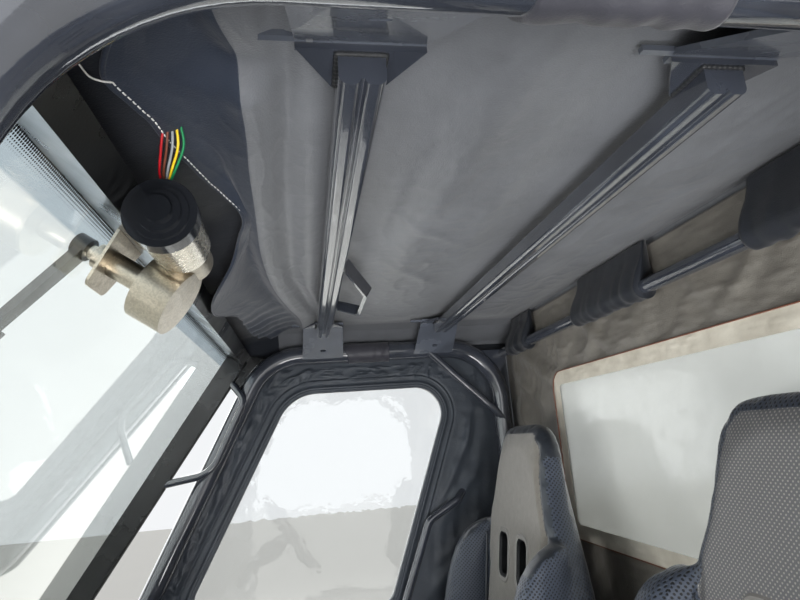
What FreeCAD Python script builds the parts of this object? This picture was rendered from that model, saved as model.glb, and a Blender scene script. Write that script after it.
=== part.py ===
import FreeCAD, Part
import math
import os

# Soft-top cab of a side by side utility vehicle, in millimetres.
# +X forward, +Y to the vehicle's left, +Z up; z = 0 is the underside of the base frame,
# x = y = 0 its middle. The right door is shut and the left one stands open, as they were found.

V = FreeCAD.Vector
X_AXIS = V(1, 0, 0)
Y_AXIS = V(0, 1, 0)
Z_AXIS = V(0, 0, 1)

# Cage
HOOP_SPACING = 1336.0       # between the centrelines of the two side hoops
CAGE_TUBE = 50.0
RAIL_Z = 1340.0             # centreline of the hoops' top rail
REAR_LEG_X = -546.0
RAIL_FRONT_X = 89.0         # where the rail's line meets the front leg's line
FRONT_LEG_LEAN = 26.4       # degrees from upright
KNEE_DROP = 640.0           # from the rail down to the bend in the front leg
BEND_R = 150.0
FOOT_LENGTH = 100.0
FOOT_WIDTH = 84.0
FOOT_PLATE = 6.0
BRACE_TUBE = 20.0
BRACE_RAIL_X = -341.0       # upper end of the corner brace, on the rail
BRACE_LEG_DROP = 182.0      # lower end, below the rail

# Base frame
BASE_LENGTH = 1220.0
BASE_TUBE = 50.0            # square section
BASE_CROSS_X = (-240.0, 150.0)   # the two inner cross tubes; one more closes each end
CHASSIS_BOLT_INSET = 110.0  # from each end of the base frame
CHASSIS_BOLT_R = 6.0

# Sheet metal and mouldings
CABIN_GAP = 25.0            # between the hoops' inner sides and the floor, bulkhead and cowl
SHEET = 3.0
MOULDING = 4.0
RIB_WIDTH = 30.0
RIB_HEIGHT = 5.0
RIB_LENGTH = 330.0
RIB_FRONT_X = 380.0
FLOOR_RIBS_Y = (-470.0, -340.0, -210.0, 210.0, 340.0, 470.0)
TOE_FOOT_X = 430.0
TOE_TOP_Z = 330.0
BULKHEAD_X = 590.0          # rear face of the front bulkhead
COWL_Z = 680.0
COWL_FRONT_X = 606.0
COWL_SHELF_X = 540.0        # rear end of the level shelf that the windscreen stands on
DASH_TOP_RISE = 32.0
DASH_TOP_X = 340.0
DASH_NOSE_X = 262.0
DASH_FOOT_X = 300.0
DASH_FOOT_Z = 500.0
REAR_PANEL_TOP = 660.0
SEAT_BOX_FRONT_X = 0.0
SEAT_BOX_REAR_X = -560.0
SEAT_BOX_TOP = 300.0

# Windscreen
SCREEN_TOP = V(149.0, 0.0, 1358.0)   # centreline of the frame's top corner
SCREEN_LEAN = 33.5          # degrees from upright
SCREEN_BAR_DEPTH = 46.0
SCREEN_BAR_WIDTH = 30.0
SCREEN_SEAL = 3.0
GLASS = 5.0
GLASS_TOP = 12.0            # how far down the slope the pane starts
GLASS_OVERLAP = 10.0        # the pane's edge stands inside the frame's outer side by this much
GRAB_TUBE = 18.0
GRAB_CLEAR = 6.0            # between the loop and the hoop's leg
# corners of the loop: down the slope, and out of it; 0 stands for the bar's rear face
GRAB_LOOP = ((84.0, 0.0), (104.0, -78.0), (292.0, -106.0), (368.0, 0.0))

# Roof members, brackets and canopy
MEMBER_WIDTH = 36.0
MEMBER_DEPTH = 26.0
MEMBER_GROOVE = 10.0
MEMBER_INSET = 140.0        # from a hoop's centreline to the bar's end
GUSSET = 5.0
GUSSET_INSET = 136.0        # from a hoop's centreline to the gusset's outer edge
GUSSET_LENGTH = 48.0
GUSSET_OUTER_WIDTH = 98.0
GUSSET_INNER_WIDTH = 40.0
GUSSET_RISE = 48.0          # underside of the gusset plates above the rail's centreline
BRACKET_RAIL_WIDTH = 108.0
BRACKET_TOP_WIDTH = 98.0
BRACKET_FLANGE = 16.0       # how far the flange reaches in from its heel
BRACKET_SLOT_LENGTH = 15.0
BRACKET_SLOT_WIDTH = 9.0
BRACKET_SLOT_PLACE = 0.28   # share of the way from the rail to the flange
BRACKET_BAR_FORWARD = 77.0  # how far the stiffening bar along the heel reaches ahead of the member
BRACKET_BAR_DEPTH = 6.0
MEMBERS = (("front_cross_member", -60.0), ("rear_cross_member", -360.0))   # name, x
CANOPY_WALL = 4.0
CANOPY_TOP = 1408.0
CANOPY_OVERHANG = 42.0      # beyond a hoop's centreline
CANOPY_SHOULDER = 95.0      # how far the edge's slope reaches in from the side
CANOPY_SIDE_DROP = 48.0     # how far that slope falls
CANOPY_HEM_Z = 1340.0
CANOPY_REAR_X = -596.0
CANOPY_BREAK_X = 40.0       # fold from which the canopy falls to the windscreen
REAR_BAR_X = -565.0
REAR_BAR_DROP = 20.0
REAR_BAR_TUBE = 25.0
WRAP_WALL = 4.0
WRAPS_Y = ((297.0, 552.0), (-184.0, 57.0), (-588.0, -463.0))   # where each fabric sleeve lies
ROOF_HANDLE_Y = (44.0, -238.0)      # where the strap's ends meet the member
ROOF_HANDLE_GRIP_Y = (-40.0, -190.0)   # corners of its straight grip
ROOF_HANDLE_STAND = 44.0
ROOF_HANDLE_FALL = 26.0     # how far the grip hangs below its ends
ROOF_HANDLE_STRAP = 6.0
ROOF_HANDLE_WIDTH = 19.0

# Rear curtain
CURTAIN_X = -588.0
CURTAIN = 4.0
CURTAIN_TOP = 1396.0
CURTAIN_FOOT = 620.0
CURTAIN_OVERHANG = 34.0
REAR_WINDOW_HALF = 363.0
REAR_WINDOW_TOP = 1200.0
REAR_WINDOW_FOOT = 897.0
REAR_WINDOW_STRIP = 30.0
FILM = 1.5

# Doors
DOOR_GAP = 6.0              # between a hoop's outer side and the door
DOOR_THICK = 26.0
DOOR_TOP = 1330.0
DOOR_FOOT = 100.0
DOOR_REAR_X = -560.0
DOOR_FRONT_LAP = 25.0       # the door's edge runs this far ahead of the leg's centreline
# x, z, corner radius
DOOR_WINDOW = ((-412.0, 1240.0, 70.0), (27.0, 1240.0, 110.0), (313.0, 690.0, 60.0), (-204.0, 690.0, 60.0))
WINDOW_RIM_WIDTH = 34.0
WINDOW_RIM = 8.0
HINGE_AHEAD = 43.3          # hinge axis ahead of the front leg's upright
HINGE_FOOT_Z = 190.0
HINGE_BELOW_KNEE = 140.0
HINGE_PIN_R = 5.0
HINGE_RUNNING = 0.05
KNUCKLE_R = 9.0
KNUCKLE_HEIGHT = 40.0
HINGE_LUG = 6.0
DOOR_OPEN = 85.0            # degrees, at the stop strap
DOORS = (("left", 1, DOOR_OPEN), ("right", -1, 0.0))   # name, side, angle it stands open by
DOOR_BAR_TUBE = 22.0
DOOR_BAR = ((-399.0, 936.0), (-318.0, 892.0), (-241.0, 703.0), (-150.0, 480.0))   # x, z

# Wiper
WIPER_Y = 266.0
WIPER_DOWN = 60.0           # pivot, down the slope from the screen's top
MOTOR_ABOVE = 46.0          # motor axis, up the slope from the pivot
MOTOR_CAN_R = 29.0
MOTOR_CAN_LENGTH = 86.0
MOTOR_CAP_R = 32.0
MOTOR_FACE_Y = 402.0
MOTOR_DEPTH = 82.0          # motor axis behind the glass
GEAR_R = 38.0
GEAR_THICK = 40.0
WIPER_SHAFT_R = 5.0
WIPER_ARM_LENGTH = 330.0
WIPER_BLADE_LENGTH = 420.0
WIPER_REST = 22.0           # degrees from straight down the glass, towards the left
LEAD_D = 2.4
LEADS = (("red", 0.0), ("brown", 4.0), ("grey", 8.0), ("yellow", 12.0), ("green", 16.0))   # name, offset in y

# Seats
SEAT_Y = 340.0
SEATS = (("left", 1, -524.0, 1124.0), ("right", -1, -463.0, 1112.0))   # name, side, x of head's face, top
BACK_RECLINE = 8.0
BACK_HEIGHT = 762.0
BACK_THICK = 115.0          # at its foot
HEAD_THICK = 48.0
WING_FORWARD = 95.0
WING_INNER_Y = 172.0
WING_DROP = 225.0           # from the head down to where the side wings start
WING_FOOT = 650.0
HARNESS_SLOT_WIDTH = 42.0
HARNESS_SLOT_HEIGHT = 88.0
HARNESS_SLOT_SPREAD = 95.0
HARNESS_SLOT_DROP = 223.0
CUSHION_LENGTH = 470.0
CUSHION_WIDTH = 500.0
CUSHION_THICK = 105.0
CUSHION_TOP = 440.0
SEAT_RAIL_WIDTH = 36.0
SEAT_RAIL_LENGTH = 420.0
SEAT_RAIL_SPREAD = 330.0
SEAT_RAIL_MIDDLE_X = -216.0

# Steering and pedals
WHEEL_CENTRE = V(70.0, SEAT_Y, 740.0)
WHEEL_R = 172.0
WHEEL_GRIP_R = 14.0
COLUMN_FALL = 35.0          # degrees below level, going forward
COLUMN_R = 24.0
COLUMN_LENGTH = 290.0
STEERING_SHAFT_R = 11.0
SHAFT_RUNNING = 0.5
SHAFT_BEYOND = 45.0         # how far the shaft ends ahead of the bulkhead
STUB_R = 9.0                # turned end that the steering gear's coupling slides on
STUB_LENGTH = 30.0
PEDALS_Y = (262.0, 425.0)

CLEAR = 0.3                 # between neighbours that are seated but not joined

HOOP_Y = HOOP_SPACING / 2
TUBE_R = CAGE_TUBE / 2
CABIN_HALF = HOOP_Y - TUBE_R - CABIN_GAP
CABIN_WIDTH = 2 * CABIN_HALF
DOOR_INNER_Y = HOOP_Y + TUBE_R + DOOR_GAP
HINGE_Y = DOOR_INNER_Y + DOOR_THICK / 2
MEMBER_HALF_LENGTH = HOOP_Y - MEMBER_INSET
GUSSET_OUTER_Y = HOOP_Y - GUSSET_INSET
GUSSET_INNER_Y = GUSSET_OUTER_Y - GUSSET_LENGTH
BRACKET_FLANGE_INNER_Y = GUSSET_OUTER_Y + 6 - BRACKET_FLANGE
CANOPY_HALF_WIDTH = HOOP_Y + CANOPY_OVERHANG
CURTAIN_HALF_WIDTH = HOOP_Y + CURTAIN_OVERHANG
LEG_SLOPE = math.tan(math.radians(FRONT_LEG_LEAN))
KNEE_X = RAIL_FRONT_X + KNEE_DROP * LEG_SLOPE
KNEE_Z = RAIL_Z - KNEE_DROP
HINGE_X = KNEE_X + HINGE_AHEAD
HINGES_Z = (HINGE_FOOT_Z, KNEE_Z - HINGE_BELOW_KNEE)
FLOOR_Z = BASE_TUBE + SHEET
HALF_BAR = SCREEN_BAR_DEPTH / 2
DOWN_SCREEN = V(math.sin(math.radians(SCREEN_LEAN)), 0, -math.cos(math.radians(SCREEN_LEAN)))
OUT_SCREEN = V(math.cos(math.radians(SCREEN_LEAN)), 0, math.sin(math.radians(SCREEN_LEAN)))
SCREEN_LENGTH = (SCREEN_TOP.z - HALF_BAR * OUT_SCREEN.z - COWL_Z - CLEAR) / -DOWN_SCREEN.z
GLASS_IN = HALF_BAR + SCREEN_SEAL
GLASS_OUT = GLASS_IN + GLASS
COLUMN_AXIS = V(math.cos(math.radians(COLUMN_FALL)), 0, -math.sin(math.radians(COLUMN_FALL)))


def turn(before, corner, after, radius):
    """Start, middle and end of the arc that rounds a corner."""
    back = (before - corner).normalize()
    ahead = (after - corner).normalize()
    half = back.getAngle(ahead) / 2
    reach = radius / math.tan(half)
    middle = (back + ahead).normalize() * (radius / math.sin(half) - radius)
    return corner + back * reach, corner + middle, corner + ahead * reach


def bent_path(points, radii):
    """Straight runs through the points, with a tangent arc at each inner one."""
    edges = []
    start = points[0]
    for before, corner, after, radius in zip(points, points[1:], points[2:], radii):
        first, middle, last = turn(before, corner, after, radius)
        edges.append(Part.LineSegment(start, first).toShape())
        edges.append(Part.Arc(first, middle, last).toShape())
        start = last
    edges.append(Part.LineSegment(start, points[-1]).toShape())
    return Part.Wire(edges)


def tube(points, diameter, radii):
    """A round bar along a bent path."""
    path = bent_path(points, radii)
    ring = Part.Circle(points[0], points[1] - points[0], diameter / 2).toShape()
    sweep = Part.BRepOffsetAPI.MakePipeShell(path)
    sweep.add(Part.Wire(ring))
    sweep.build()
    sweep.makeSolid()
    return sweep.shape()


def outline(corners):
    """Closed wire through corners given as (point, radius); radius 0 keeps a corner sharp."""
    count = len(corners)
    turns = []
    for i, (point, radius) in enumerate(corners):
        if radius > 0:
            turns.append(turn(corners[i - 1][0], point, corners[(i + 1) % count][0], radius))
        else:
            turns.append((point, None, point))
    edges = []
    for i, (start, middle, end) in enumerate(turns):
        if middle is not None:
            edges.append(Part.Arc(start, middle, end).toShape())
        edges.append(Part.LineSegment(end, turns[(i + 1) % count][0]).toShape())
    return Part.Wire(edges)


def slab(corners, push):
    """A flat outline pushed into a solid."""
    return Part.Face(outline(corners)).extrude(push)


def side_slab(corners, y_low, y_high):
    """Corners (x, z, radius) in the side view, pushed across the vehicle."""
    placed = [(V(x, y_low, z), radius) for x, z, radius in corners]
    return slab(placed, V(0, y_high - y_low, 0))


def box(low, high):
    """A block between two opposite corners, in any order."""
    spans = [sorted(pair) for pair in zip(low, high)]
    sizes = [b - a for a, b in spans]
    return Part.makeBox(*sizes, V(*[a for a, b in spans]))


def rod(start, end, radius):
    """A round bar between two points."""
    return Part.makeCylinder(radius, (end - start).Length, start, end - start)


def joined(solids):
    """One solid made of overlapping ones."""
    whole = solids[0].multiFuse(solids[1:])
    return whole.removeSplitter()


def mirrored(shape):
    """The same piece on the other side of the vehicle."""
    return shape.mirror(V(0, 0, 0), Y_AXIS)


def largest(shape):
    """The main solid of a cut piece, without the slivers beyond the cut."""
    return max(shape.Solids, key=lambda solid: solid.Volume)


def on_side(shape, side):
    """A piece drawn on the left, placed on side 1 (left) or -1 (right)."""
    return shape if side > 0 else mirrored(shape)


def on_screen(down, out, y):
    """A point from its place down the windscreen's slope, out of it and across it."""
    return SCREEN_TOP + DOWN_SCREEN * down + OUT_SCREEN * out + Y_AXIS * y


def hoop_points(y):
    """Corners of a side hoop, from its rear foot to its front foot."""
    foot = BASE_TUBE + FOOT_PLATE / 2
    profile = ((REAR_LEG_X, foot), (REAR_LEG_X, RAIL_Z), (RAIL_FRONT_X, RAIL_Z), (KNEE_X, KNEE_Z),
               (KNEE_X, foot))
    return [V(x, y, z) for x, z in profile]


def hoop_tube(y, spare=0.0):
    """The bent tube of one side hoop; spare makes it thicker, to cut a seat with."""
    return tube(hoop_points(y), CAGE_TUBE + 2 * spare, (BEND_R, BEND_R, BEND_R))


def base_frame():
    half = BASE_LENGTH / 2
    tube_half = BASE_TUBE / 2
    solids = []
    for side in (-1, 1):
        y = side * HOOP_Y
        solids.append(box((-half, y - tube_half, 0), (half, y + tube_half, BASE_TUBE)))
    for x in (tube_half - half, *BASE_CROSS_X, half - tube_half):
        solids.append(box((x - tube_half, -HOOP_Y, 0), (x + tube_half, HOOP_Y, BASE_TUBE)))
    frame = joined(solids)
    for x in (CHASSIS_BOLT_INSET - half, half - CHASSIS_BOLT_INSET):
        for side in (-1, 1):
            frame = frame.cut(rod(V(x, side * HOOP_Y, -1), V(x, side * HOOP_Y, BASE_TUBE + 1),
                                  CHASSIS_BOLT_R))
    return frame


def hoop(side):
    y = side * HOOP_Y
    solids = [hoop_tube(y)]
    for x in (REAR_LEG_X, KNEE_X):
        low = (x - FOOT_LENGTH / 2, y - FOOT_WIDTH / 2, BASE_TUBE)
        high = (x + FOOT_LENGTH / 2, y + FOOT_WIDTH / 2, BASE_TUBE + FOOT_PLATE)
        solids.append(box(low, high))
    solids.append(corner_brace(side))
    return joined(solids)


def corner_brace(side, spare=0.0):
    """Diagonal bar inside the hoop's rear bend, along the tubes' inner sides."""
    y = side * (HOOP_Y - TUBE_R + BRACE_TUBE / 2)
    upper = V(BRACE_RAIL_X, y, RAIL_Z)
    lower = V(REAR_LEG_X, y, RAIL_Z - BRACE_LEG_DROP - BRACE_TUBE)
    return rod(upper, lower, BRACE_TUBE / 2 + spare)


def floor_pan():
    rear = box((-BASE_LENGTH / 2, -CABIN_HALF, BASE_TUBE), (TOE_FOOT_X - SHEET, CABIN_HALF, FLOOR_Z))
    solids = [rear]
    for y in FLOOR_RIBS_Y:
        low = (RIB_FRONT_X - RIB_LENGTH, y - RIB_WIDTH / 2, FLOOR_Z - SHEET / 2)
        high = (RIB_FRONT_X, y + RIB_WIDTH / 2, FLOOR_Z + RIB_HEIGHT)
        rib = box(low, high)
        upper_edges = [edge for edge in rib.Edges if edge.BoundBox.ZMin > FLOOR_Z + RIB_HEIGHT - 0.1]
        solids.append(rib.makeChamfer(RIB_HEIGHT * 0.8, upper_edges))
    return joined(solids)


def bulkhead():
    foot_x = TOE_FOOT_X
    profile = (
        (foot_x, BASE_TUBE, 0), (foot_x, FLOOR_Z, 0), (BULKHEAD_X, TOE_TOP_Z, 0), (BULKHEAD_X,
                                                                                   COWL_Z - MOULDING - 1, 0),
        (BULKHEAD_X + SHEET, COWL_Z - MOULDING - 1, 0), (BULKHEAD_X + SHEET, TOE_TOP_Z - SHEET, 0),
        (foot_x + 2 * SHEET, BASE_TUBE, 0),
    )
    half = CABIN_HALF - MOULDING - CLEAR
    sheet = side_slab(profile, -half, half)
    cheek_profile = (
        (foot_x + 2 * SHEET, BASE_TUBE, 0), (BULKHEAD_X, TOE_TOP_Z, 0), (BULKHEAD_X, COWL_Z - 60, 0),
        (KNEE_X + TUBE_R + 8, DASH_FOOT_Z, 40), (KNEE_X + TUBE_R + 8, BASE_TUBE, 0),
    )
    solids = [sheet]
    for side in (-1, 1):
        solids.append(side_slab(cheek_profile, side * half, side * (half - SHEET)))
    hole = rod(WHEEL_CENTRE + COLUMN_AXIS * 500, WHEEL_CENTRE + COLUMN_AXIS * 900, STEERING_SHAFT_R + 4)
    return joined(solids).cut(hole)


def rear_panel():
    front = CURTAIN_X + CURTAIN / 2 + CLEAR
    sheet = box((front, -CABIN_HALF, FLOOR_Z), (front + SHEET, CABIN_HALF, REAR_PANEL_TOP))
    lip = box((front, -CABIN_HALF, REAR_PANEL_TOP - SHEET), (front + 20, CABIN_HALF, REAR_PANEL_TOP))
    return joined([sheet, lip])


def seat_box():
    outer = box((SEAT_BOX_REAR_X, -CABIN_HALF + 10, FLOOR_Z),
                (SEAT_BOX_FRONT_X, CABIN_HALF - 10, SEAT_BOX_TOP))
    upper_edges = [edge for edge in outer.Edges
                   if edge.BoundBox.ZMin > FLOOR_Z + 1 or edge.BoundBox.ZLength > 1]
    outer = outer.makeFillet(20.0, upper_edges)
    low = (SEAT_BOX_REAR_X + MOULDING, -CABIN_HALF + 10 + MOULDING, FLOOR_Z - 1)
    high = (SEAT_BOX_FRONT_X - MOULDING, CABIN_HALF - 10 - MOULDING, SEAT_BOX_TOP - MOULDING)
    inner = box(low, high)
    upper_edges = [edge for edge in inner.Edges if edge.BoundBox.ZMin > FLOOR_Z or edge.BoundBox.ZLength > 1]
    return outer.cut(inner.makeFillet(20.0 - MOULDING, upper_edges))


def windscreen_frame():
    solids = []
    across = SCREEN_BAR_WIDTH / 2

    def bar(down_a, down_b, y_a, y_b):
        corners = [(on_screen(down_a, -HALF_BAR, y_a), 0), (on_screen(down_b, -HALF_BAR, y_a), 0),
                   (on_screen(down_b, HALF_BAR, y_a), 0), (on_screen(down_a, HALF_BAR, y_a), 0)]
        return slab(corners, V(0, y_b - y_a, 0))

    for side in (-1, 1):
        solids.append(bar(0, SCREEN_LENGTH, side * HOOP_Y - across, side * HOOP_Y + across))
        gusset = [(on_screen(-0, -HALF_BAR + 2, 0), 0), (on_screen(95, -HALF_BAR + 2, 0), 0),
                  (V(RAIL_FRONT_X + 62, 0, RAIL_Z - 100), 0), (V(RAIL_FRONT_X - 20, 0, RAIL_Z - 10), 0)]
        plate = slab(gusset, V(0, 8, 0))
        plate.translate(V(0, side * HOOP_Y - 4, 0))
        solids.append(plate.cut(hoop_tube(side * HOOP_Y, CLEAR)))
    solids.append(bar(0, SCREEN_BAR_WIDTH, -HOOP_Y, HOOP_Y))
    solids.append(bar(SCREEN_LENGTH - SCREEN_BAR_WIDTH, SCREEN_LENGTH, -HOOP_Y, HOOP_Y))
    seal = SCREEN_SEAL - CLEAR
    for y_a, y_b, down_a, down_b in (
            (-HOOP_Y, HOOP_Y, GLASS_TOP, SCREEN_BAR_WIDTH), (-HOOP_Y, HOOP_Y,
                                                             SCREEN_LENGTH - SCREEN_BAR_WIDTH, SCREEN_LENGTH),
            (HOOP_Y - across, HOOP_Y, GLASS_TOP, SCREEN_LENGTH), (-HOOP_Y, -HOOP_Y + across, GLASS_TOP,
                                                                  SCREEN_LENGTH)):
        corners = [(on_screen(down_a, HALF_BAR - 1, y_a), 0), (on_screen(down_b, HALF_BAR - 1, y_a), 0),
                   (on_screen(down_b, HALF_BAR + seal, y_a), 0), (on_screen(down_a, HALF_BAR + seal, y_a), 0)]
        solids.append(slab(corners, V(0, y_b - y_a, 0)))
    return joined(solids)


def windscreen_glass():
    half = HOOP_Y + SCREEN_BAR_WIDTH / 2 - GLASS_OVERLAP
    corners = [(on_screen(GLASS_TOP, GLASS_IN, -half), 25), (on_screen(SCREEN_LENGTH, GLASS_IN, -half), 25),
               (on_screen(SCREEN_LENGTH, GLASS_IN, half), 25), (on_screen(GLASS_TOP, GLASS_IN, half), 25)]
    pane = slab(corners, OUT_SCREEN * GLASS)
    hole = rod(on_screen(WIPER_DOWN, 0, WIPER_Y), on_screen(WIPER_DOWN, 60, WIPER_Y), WIPER_SHAFT_R + 4)
    return pane.cut(hole)


def windscreen_handles():
    """A round loop on each side bar, which leans inwards so that a hand clears the leg."""
    face = -HALF_BAR - CLEAR
    loops = []
    for side in (-1, 1):
        foot_y = side * (HOOP_Y - SCREEN_BAR_WIDTH * 0.66)
        grip_y = side * (HOOP_Y - TUBE_R - GRAB_TUBE / 2 - GRAB_CLEAR)
        points = [on_screen(down, out if out else face, grip_y if out else foot_y) for down, out in GRAB_LOOP]
        loops.append(tube(points, GRAB_TUBE, (30, 70)).cut(screen_bar_space(side * HOOP_Y)))
    return Part.Compound(loops)


def screen_bar_space(y):
    """The room taken by a side bar of the windscreen, with clearance behind it."""
    corners = [(on_screen(-10, -HALF_BAR - CLEAR, y - 40), 0),
               (on_screen(SCREEN_LENGTH, -HALF_BAR - CLEAR, y - 40), 0),
               (on_screen(SCREEN_LENGTH, 60, y - 40), 0), (on_screen(-10, 60, y - 40), 0)]
    return slab(corners, V(0, 80, 0))


def cross_member(x):
    """A pressed bar with a groove along its underside, hung under a tapered gusset at each end."""
    half = MEMBER_WIDTH / 2
    top = RAIL_Z + GUSSET_RISE
    foot = top - MEMBER_DEPTH
    ridge = half / 2
    corners = [(-half, top, 3), (half, top, 3), (half, foot, ridge * 0.8),
               (half - 2 * ridge + 3, foot, ridge * 0.5),
               (0, foot + MEMBER_GROOVE, 2), (-3, foot, ridge * 0.5), (-half, foot, ridge * 0.8)]
    placed = [(V(x + dx, -MEMBER_HALF_LENGTH, z), radius) for dx, z, radius in corners]
    bar = slab(placed, V(0, 2 * MEMBER_HALF_LENGTH, 0))
    solids = [bar]
    for side in (-1, 1):
        outer = GUSSET_OUTER_WIDTH / 2
        inner = GUSSET_INNER_WIDTH / 2
        plate = [(V(x - outer, side * GUSSET_OUTER_Y, top - 0.5), 0),
                 (V(x + outer, side * GUSSET_OUTER_Y, top - 0.5), 0),
                 (V(x + inner, side * GUSSET_INNER_Y, top - 0.5), 6),
                 (V(x - inner, side * GUSSET_INNER_Y, top - 0.5), 6)]
        solids.append(slab(plate, V(0, 0, GUSSET)))
    return joined(solids)


def member_bracket(x, side):
    """A bent plate from the rail's inner side up to a flange that lies on the gusset, with a
    narrow bar along the bend."""
    top = RAIL_Z + GUSSET_RISE - 0.5 + GUSSET + CLEAR
    foot = V(x, HOOP_Y - TUBE_R + 8, RAIL_Z - 16)
    heel = V(x, GUSSET_OUTER_Y + 2, top)
    rise = heel - foot
    wide = BRACKET_RAIL_WIDTH / 2
    narrow = BRACKET_TOP_WIDTH / 2
    web_face = [(foot - X_AXIS * wide, 0), (foot + X_AXIS * wide, 0),
                (heel + X_AXIS * narrow, 0), (heel - X_AXIS * narrow, 0)]
    through = rise.cross(X_AXIS).normalize() * GUSSET
    web = slab(web_face, through)
    middle = foot + rise * BRACKET_SLOT_PLACE + through * 0.5
    slot_end = X_AXIS * (BRACKET_SLOT_LENGTH - BRACKET_SLOT_WIDTH) / 2
    ends = [rod(middle + end - through * 2, middle + end + through * 2, BRACKET_SLOT_WIDTH / 2)
            for end in (slot_end * -1, slot_end)]
    web = web.cut(ends[0].fuse(ends[1]))
    heel_y = GUSSET_OUTER_Y + BRACKET_BAR_DEPTH
    flange = box((x - narrow, BRACKET_FLANGE_INNER_Y, top), (x + narrow, heel_y, top + GUSSET))
    stiffener = box((x - narrow, GUSSET_OUTER_Y, top), (x + BRACKET_BAR_FORWARD, heel_y, top + GUSSET))
    plate = joined([web, flange, stiffener]).cut(hoop_tube(HOOP_Y, CLEAR)).cut(corner_brace(1, CLEAR))
    return on_side(largest(plate), side)


def member_brackets():
    return Part.Compound([member_bracket(x, side) for name, x in MEMBERS for side in (-1, 1)])


def rear_crossbar():
    z = RAIL_Z - REAR_BAR_DROP
    solids = [rod(V(REAR_BAR_X, -HOOP_Y, z), V(REAR_BAR_X, HOOP_Y, z), REAR_BAR_TUBE / 2)]
    for side in (-1, 1):
        profile = ((REAR_BAR_X - 8, z + 8, 0), (REAR_BAR_X + 20, z + 10, 0), (-480, RAIL_Z - 10, 0),
                   (REAR_LEG_X + 20, RAIL_Z - BEND_R + 40, 0), (REAR_BAR_X - 2, z - 30, 0))
        plate = side_slab(profile, side * HOOP_Y - 4, side * HOOP_Y + 4)
        solids.append(plate.cut(hoop_tube(side * HOOP_Y, CLEAR)))
    return joined(solids)


def bar_wraps():
    z = RAIL_Z - REAR_BAR_DROP
    outer = REAR_BAR_TUBE / 2 + CLEAR + WRAP_WALL
    sleeves = []
    for low, high in WRAPS_Y:
        sleeve = rod(V(REAR_BAR_X, low, z), V(REAR_BAR_X, high, z), outer)
        tab = box((REAR_BAR_X - outer, low, z),
                  (REAR_BAR_X - outer + WRAP_WALL, high, CANOPY_TOP - CANOPY_WALL - CLEAR))
        bore = rod(V(REAR_BAR_X, low - 1, z), V(REAR_BAR_X, high + 1, z), REAR_BAR_TUBE / 2 + CLEAR)
        sleeves.append(sleeve.fuse(tab).cut(bore))
    return Part.Compound(sleeves)


def canopy_block(inset):
    """The canopy's outer form, or its hollow when inset is the wall."""
    half = CANOPY_HALF_WIDTH - inset
    top = CANOPY_TOP - inset
    foot = CANOPY_HEM_Z - inset
    rear = CANOPY_REAR_X + inset
    front_x = screen_top_corner().x - inset
    section = [(-half, foot, 0), (half, foot, 0), (half, top - CANOPY_SIDE_DROP, 12),
               (half - CANOPY_SHOULDER, top, 60), (-half + CANOPY_SHOULDER, top, 60),
               (-half, top - CANOPY_SIDE_DROP, 12)]
    placed = [(V(rear, y, z), radius) for y, z, radius in section]
    block = slab(placed, V(front_x - rear, 0, 0))
    front_z = screen_top_corner().z + CLEAR + CANOPY_WALL - inset
    wedge = ((CANOPY_BREAK_X, top, 0),
             (front_x + 50, front_z - (top - front_z) * 50 / (front_x - CANOPY_BREAK_X), 0),
             (front_x + 50, top + 50, 0), (CANOPY_BREAK_X, top + 50, 0))
    return block.cut(side_slab(wedge, -half - 50, half + 50))


def screen_top_corner():
    """The highest corner of the windscreen frame's top bar, which carries the canopy's front hem."""
    return on_screen(0, HALF_BAR, 0)


def roof_canopy():
    shell = canopy_block(0).cut(canopy_block(CANOPY_WALL))
    front = screen_top_corner()
    mouth = box((CANOPY_BREAK_X + 60, -CANOPY_HALF_WIDTH + CANOPY_WALL, CANOPY_HEM_Z - 60),
                (front.x + 10, CANOPY_HALF_WIDTH - CANOPY_WALL, front.z + CLEAR))
    shell = shell.cut(mouth)
    return largest(shell)


def roof_grab_handle():
    """A flat strap bent into a loop, which hangs outwards and down from the front member's side."""
    face = V(MEMBERS[0][1] - MEMBER_WIDTH / 2 - CLEAR, 0, RAIL_Z + GUSSET_RISE - MEMBER_DEPTH / 2)
    away = V(-ROOF_HANDLE_STAND, 0, -ROOF_HANDLE_FALL)
    wide = away.cross(Y_AXIS).normalize() * ROOF_HANDLE_WIDTH
    left, right = ROOF_HANDLE_Y
    grip_left, grip_right = ROOF_HANDLE_GRIP_Y
    wall = ROOF_HANDLE_STRAP
    inward = away * (1 - wall / away.Length)
    loops = []
    for reach, trim, radius in ((away, 0, 24), (inward, wall, 24 - wall)):
        corners = [(face - away * 0.5 + Y_AXIS * (left - trim + 40), 0), (face + Y_AXIS * (left - trim), 0),
                   (face + reach + Y_AXIS * (grip_left - trim), radius),
                   (face + reach + Y_AXIS * (grip_right + trim), radius),
                   (face + Y_AXIS * (right + trim), 0), (face - away * 0.5 + Y_AXIS * (right + trim - 40), 0)]
        loops.append(slab([(point - wide * 0.5, corner) for point, corner in corners], wide))
    strap = loops[0].cut(loops[1])
    beyond = box((face.x, right - 90, face.z - 60), (face.x + 80, left + 90, face.z + 60))
    return largest(strap.cut(beyond))


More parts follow.
